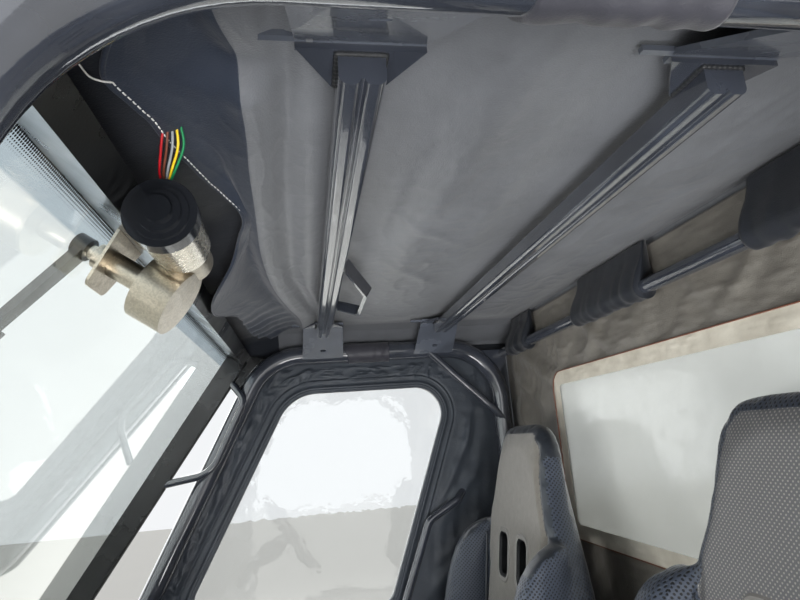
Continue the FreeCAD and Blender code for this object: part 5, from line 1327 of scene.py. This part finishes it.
def swollen(name, forms, voxel, cap, frames):
    """Joins closed forms into one skin by a voxel remesh, swells it with Cloth under pressure and
    no gravity, holds each point within the cap of its start, and smooths it with one
    subdivision."""
    piece = linked(name, sealed(grid_mesh(name, [(form, False, True, 0) for form in forms]), merge=1e-5))
    remesh = piece.modifiers.new("skin", "REMESH")
    remesh.mode = "VOXEL"
    remesh.voxel_size = voxel
    bake(piece)
    before = values(piece.data.vertices, "co")
    cloth = piece.modifiers.new("stuffing", "CLOTH")
    cloth.settings.use_pressure = True
    cloth.settings.uniform_pressure_force = 4.0
    cloth.settings.effector_weights.gravity = 0
    cloth.settings.quality = 4
    scene = bpy.context.scene
    for number in range(1, frames + 1):
        scene.frame_set(number)
    bake(piece)
    scene.frame_set(1)
    move = values(piece.data.vertices, "co") - before
    far = np.linalg.norm(move, axis=1)[:, None]
    set_coordinates(piece, before + move * np.minimum(1, cap / np.maximum(far, 1e-9)))
    smooth = piece.modifiers.new("smooth", "SUBSURF")
    smooth.levels = 1
    smooth.render_levels = 1
    bake(piece)
    piece.data.shade_smooth()
    return piece


def bake(piece):
    """Replaces a piece's mesh by what its modifiers make of it, and drops them."""
    graph = bpy.context.evaluated_depsgraph_get()
    graph.update()
    made = bpy.data.meshes.new_from_object(piece.evaluated_get(graph))
    old = piece.data
    piece.modifiers.clear()
    piece.data = made
    bpy.data.meshes.remove(old)
    made.name = piece.name


def face_facts(piece):
    """Centres and normals of the piece's faces, as arrays."""
    return values(piece.data.polygons, "center"), values(piece.data.polygons, "normal")


def panel_edge(y, z):
    """How far a place on the seat's face lies inside the centre panel: the smaller of its distances
    from the back's outline, less a border that widens down the back, and from the panel's top."""
    border = np.interp(-z, (0.0, 0.1, 0.23, 0.30, 0.762), (0.022, 0.030, 0.036, 0.085, 0.080))
    return np.minimum(back_half_width(z) - np.abs(y) - border, PANEL_TOP - z)


def finish_back(piece, sunk):
    """Snaps the points beside the centre panel onto its edge, sinks the seam there and one across
    the waist, cuts the harness slots, and sorts faces into panel, smooth border and punched sides."""
    points = coordinates(piece)
    face = step(points[:, 0], -0.035, -0.008)
    edge = panel_edge(points[:, 1], points[:, 2])
    near = (np.abs(edge) < 0.0024) & (face > 0)
    at_top = near & (np.abs(edge + points[:, 2] - PANEL_TOP) < 1e-9)
    beside = near & ~at_top
    points[at_top, 2] += edge[at_top]
    points[beside, 1] += np.sign(points[beside, 1]) * edge[beside]
    edge = panel_edge(points[:, 1], points[:, 2])
    points[:, 0] -= sunk * bell(edge, 0.0045) * face * step(-points[:, 2], 0.02, 0.06)
    points[:, 0] -= 0.005 * bell(points[:, 2] + 0.520, 0.006) * step(edge, 0.0, 0.02) * face
    set_coordinates(piece, points)
    for hand in (-1, 1):
        tool = linked("slot", sealed(grid_mesh("slot", [(slot_form(hand), False, True, 0)])))
        cut = piece.modifiers.new("slot", "BOOLEAN")
        cut.operation = "DIFFERENCE"
        cut.object = tool
        bake(piece)
        bpy.data.objects.remove(tool)
    centres, normals = face_facts(piece)
    inside = panel_edge(centres[:, 1], centres[:, 2]) > 0
    panel = inside & (centres[:, 0] > -0.03) & (normals[:, 0] > 0.2)
    sides = (np.abs(normals[:, 1]) > 0.62) & (centres[:, 2] < -0.06)
    lower = (centres[:, 2] < -0.26) & (normals[:, 0] > -0.3) & ~panel
    sort_faces(piece, panel, sides | lower)
    piece.data.shade_smooth()


def sort_faces(piece, panel, sides):
    """Gives faces of the panel the first material, those of the sides the third, others the second."""
    kinds = np.where(panel, 0, np.where(sides, 2, 1))
    piece.data.polygons.foreach_set("material_index", kinds.astype(np.int32))


def slot_line(hand, grow, spacing, turning):
    """Outline of a rounded upright slot, grown outwards by an amount, as y and z."""
    wide, tall = SLOT[0] + grow, SLOT[1] + grow
    corners = [(a, b, SLOT[2] + grow) for a, b in ((-wide, -tall), (wide, -tall), (wide, tall), (-wide, tall))]
    outline, _ = fan(corners, spacing, turning)
    return outline[:, 0] + hand * SLOT_Y, outline[:, 1] + SLOT_Z


def slot_form(hand):
    """The slot's outline pushed right through the back."""
    y, z = slot_line(hand, 0.0, 0.01, 0.3)
    return surface(np.array((0.03, -0.16))[:, None], y, z)


def face_level(back):
    """How far forward the swollen face stands beside the harness slots."""
    spots = coordinates(back)
    near = (np.abs(spots[:, 2] - SLOT_Z) < 0.07) & (np.abs(spots[:, 1]) < 0.11)
    return float(np.percentile(spots[near, 0], 92))


def slot_frames(name, level, side, face, top):
    """Bevelled frames in the harness slots: a rim on the seat's face and a dark lining behind it,
    both the slot's outline carried through a short table of depths."""
    plastic = moulded_plastic("moulded slot frame", linear("6f6d69"), 0.45)
    hollow = moulded_plastic("moulded slot lining", linear("0c0d0f"), 0.6)
    section = ((level - 0.0015, 0.013), (level + 0.0022, 0.008), (level + 0.0012, 0.001), (level - 0.004, -0.0030),
               (-0.090, -0.0035), (-0.090, 0.001), (level - 0.008, 0.0015))   # depth, growth
    grids = []
    for hand in (-1, 1):
        rows = [surface(depth, *slot_line(hand, grow, 1.0, 0.2)) for depth, grow in section]
        grids.append((np.stack(rows[:3]), False, True, 0))
        grids.append((np.stack(rows[2:] + rows[:1]), False, True, 1))
    frames = make_piece("slot_frames_" + name, grids, "root", [plastic, hollow])
    lean_back(frames, side, face, top)
    sharpen(frames, 35)


def wing_piping(name, level, side, face, top, vinyl):
    """A round cord of piping down each wing's root, bowed a little towards the seat's middle."""
    drop = np.linspace(-0.236, -0.620, 50)
    grids = []
    for hand in (-1, 1):
        path = surface(level + 0.001, hand * (0.176 - 0.010 * bell(drop + 0.42, 0.16)), drop)
        grids.append(rod(path, ring(0.0034, 8), (1.0, 0.0, 0.0)))
    lean_back(make_piece("seat_piping_" + name, grids, "root", [vinyl]), side, face, top)


def lean_back(piece, side, face, top):
    """Leans a piece drawn upright at the seat's own zero and moves it to its seat."""
    cos, sin = np.cos(-RECLINE), np.sin(-RECLINE)
    move_mesh(piece, np.array(((cos, 0, sin), (0, 1, 0), (-sin, 0, cos))), (face, side * SEAT_Y, top))


def move_mesh(piece, turn, shift):
    """Turns and shifts a piece's points, leaving its object at the origin."""
    set_coordinates(piece, coordinates(piece) @ turn.T + np.array(shift))


def finish_cushion(piece, face, top):
    """Sinks seams along the bolsters and across the middle, and sorts faces into panel and border."""
    points = coordinates(piece)
    up = step(points[:, 2], 0.405, 0.430)
    seams = bell(np.abs(points[:, 1]) - 0.165, 0.006)
    middle = step(0.165 - np.abs(points[:, 1]), 0, 0.01)
    for share in (0.16, 0.31, 0.46):
        seams = np.maximum(seams, bell(points[:, 0] - cushion_rear(face, top) - share, 0.006) * middle)
    points[:, 2] -= 0.007 * seams * up
    set_coordinates(piece, points)
    centres, normals = face_facts(piece)
    sort_faces(piece, (np.abs(centres[:, 1]) < 0.163) & (normals[:, 2] > 0.3), np.abs(normals[:, 1]) > 0.6)


class CAB_OT_wiper(bpy.types.Operator):
    """Coloured leads of the wiper motor"""
    bl_idname = "cab.wiper"
    bl_label = "Wiper leads"

    def execute(self, context):
        materials = [insulated_wire(name + " insulation", linear(code)) for name, code in LEADS]
        grids = [lead(i, i * LEAD_PITCH) for i in range(len(LEADS))]
        make_piece("motor_leads", grids, "root", materials, ("wiper_leads",))
        return {"FINISHED"}


def lead(kind, offset):
    """One lead, held at both ends: up out of the motor's cap and behind the roof's flap, on a
    smooth curve through four points that spread with its offset from the first lead."""
    start = on_screen(*MOTOR_AXIS, MOTOR_FACE_Y - 0.022 - offset) + np.array((0, 0, 0.0295))
    lean = offset * 0.9
    height = LEAD_END_Z - start[2]
    knots = np.array((0.0, 0.3, 0.62, 1.0))
    spots = np.array(((0, 0, 0), (-0.010 + lean, 0.013 + 0.4 * offset, 0.30 * height),
                      (-0.021 + lean * 1.4, 0.030 + 0.7 * offset, 0.66 * height),
                      (-0.021 + lean, 0.042 + offset, height)))
    path = start + through(np.linspace(0, 1, 40), knots, spots)
    return rod(path, ring(0.0012, 8), (1.0, 0.0, 0.0), kind)


class CAB_PT_panel(bpy.types.Panel):
    """Lists the cab's pieces and their settings"""
    bl_idname = "CAB_PT_panel"
    bl_label = "Utility cab"
    bl_space_type = "VIEW_3D"
    bl_region_type = "UI"
    bl_category = "Cab"

    def draw(self, context):
        for operator in OPERATORS:
            self.layout.operator(operator.bl_idname)
        for name in GROUPS:
            box = self.layout.box()
            group = getattr(context.scene, name)
            for key in group.bl_rna.properties.keys():
                if key not in ("rna_type", "name"):
                    box.prop(group, key)


GROUPS = {"cab_stage": StageSettings, "cab_metal": MetalSettings, "cab_canopy": CanopySettings,
          "cab_doors": DoorSettings, "cab_seats": SeatSettings}
OPERATORS = (CAB_OT_stage, CAB_OT_metal, CAB_OT_canopy, CAB_OT_wraps, CAB_OT_curtain, CAB_OT_doors, CAB_OT_seats,
             CAB_OT_wiper)


def register():
    for group in GROUPS.values():
        bpy.utils.register_class(group)
    for name, group in GROUPS.items():
        setattr(bpy.types.Scene, name, PointerProperty(type=group))
    for operator in OPERATORS:
        bpy.utils.register_class(operator)
    bpy.utils.register_class(CAB_PT_panel)


def unregister():
    bpy.utils.unregister_class(CAB_PT_panel)
    for operator in reversed(OPERATORS):
        bpy.utils.unregister_class(operator)
    for name, group in GROUPS.items():
        delattr(bpy.types.Scene, name)
        bpy.utils.unregister_class(group)


def main():
    register()
    for operator in OPERATORS:
        group, name = operator.bl_idname.split(".")
        getattr(getattr(bpy.ops, group), name)()


if __name__ == "__main__":
    main()
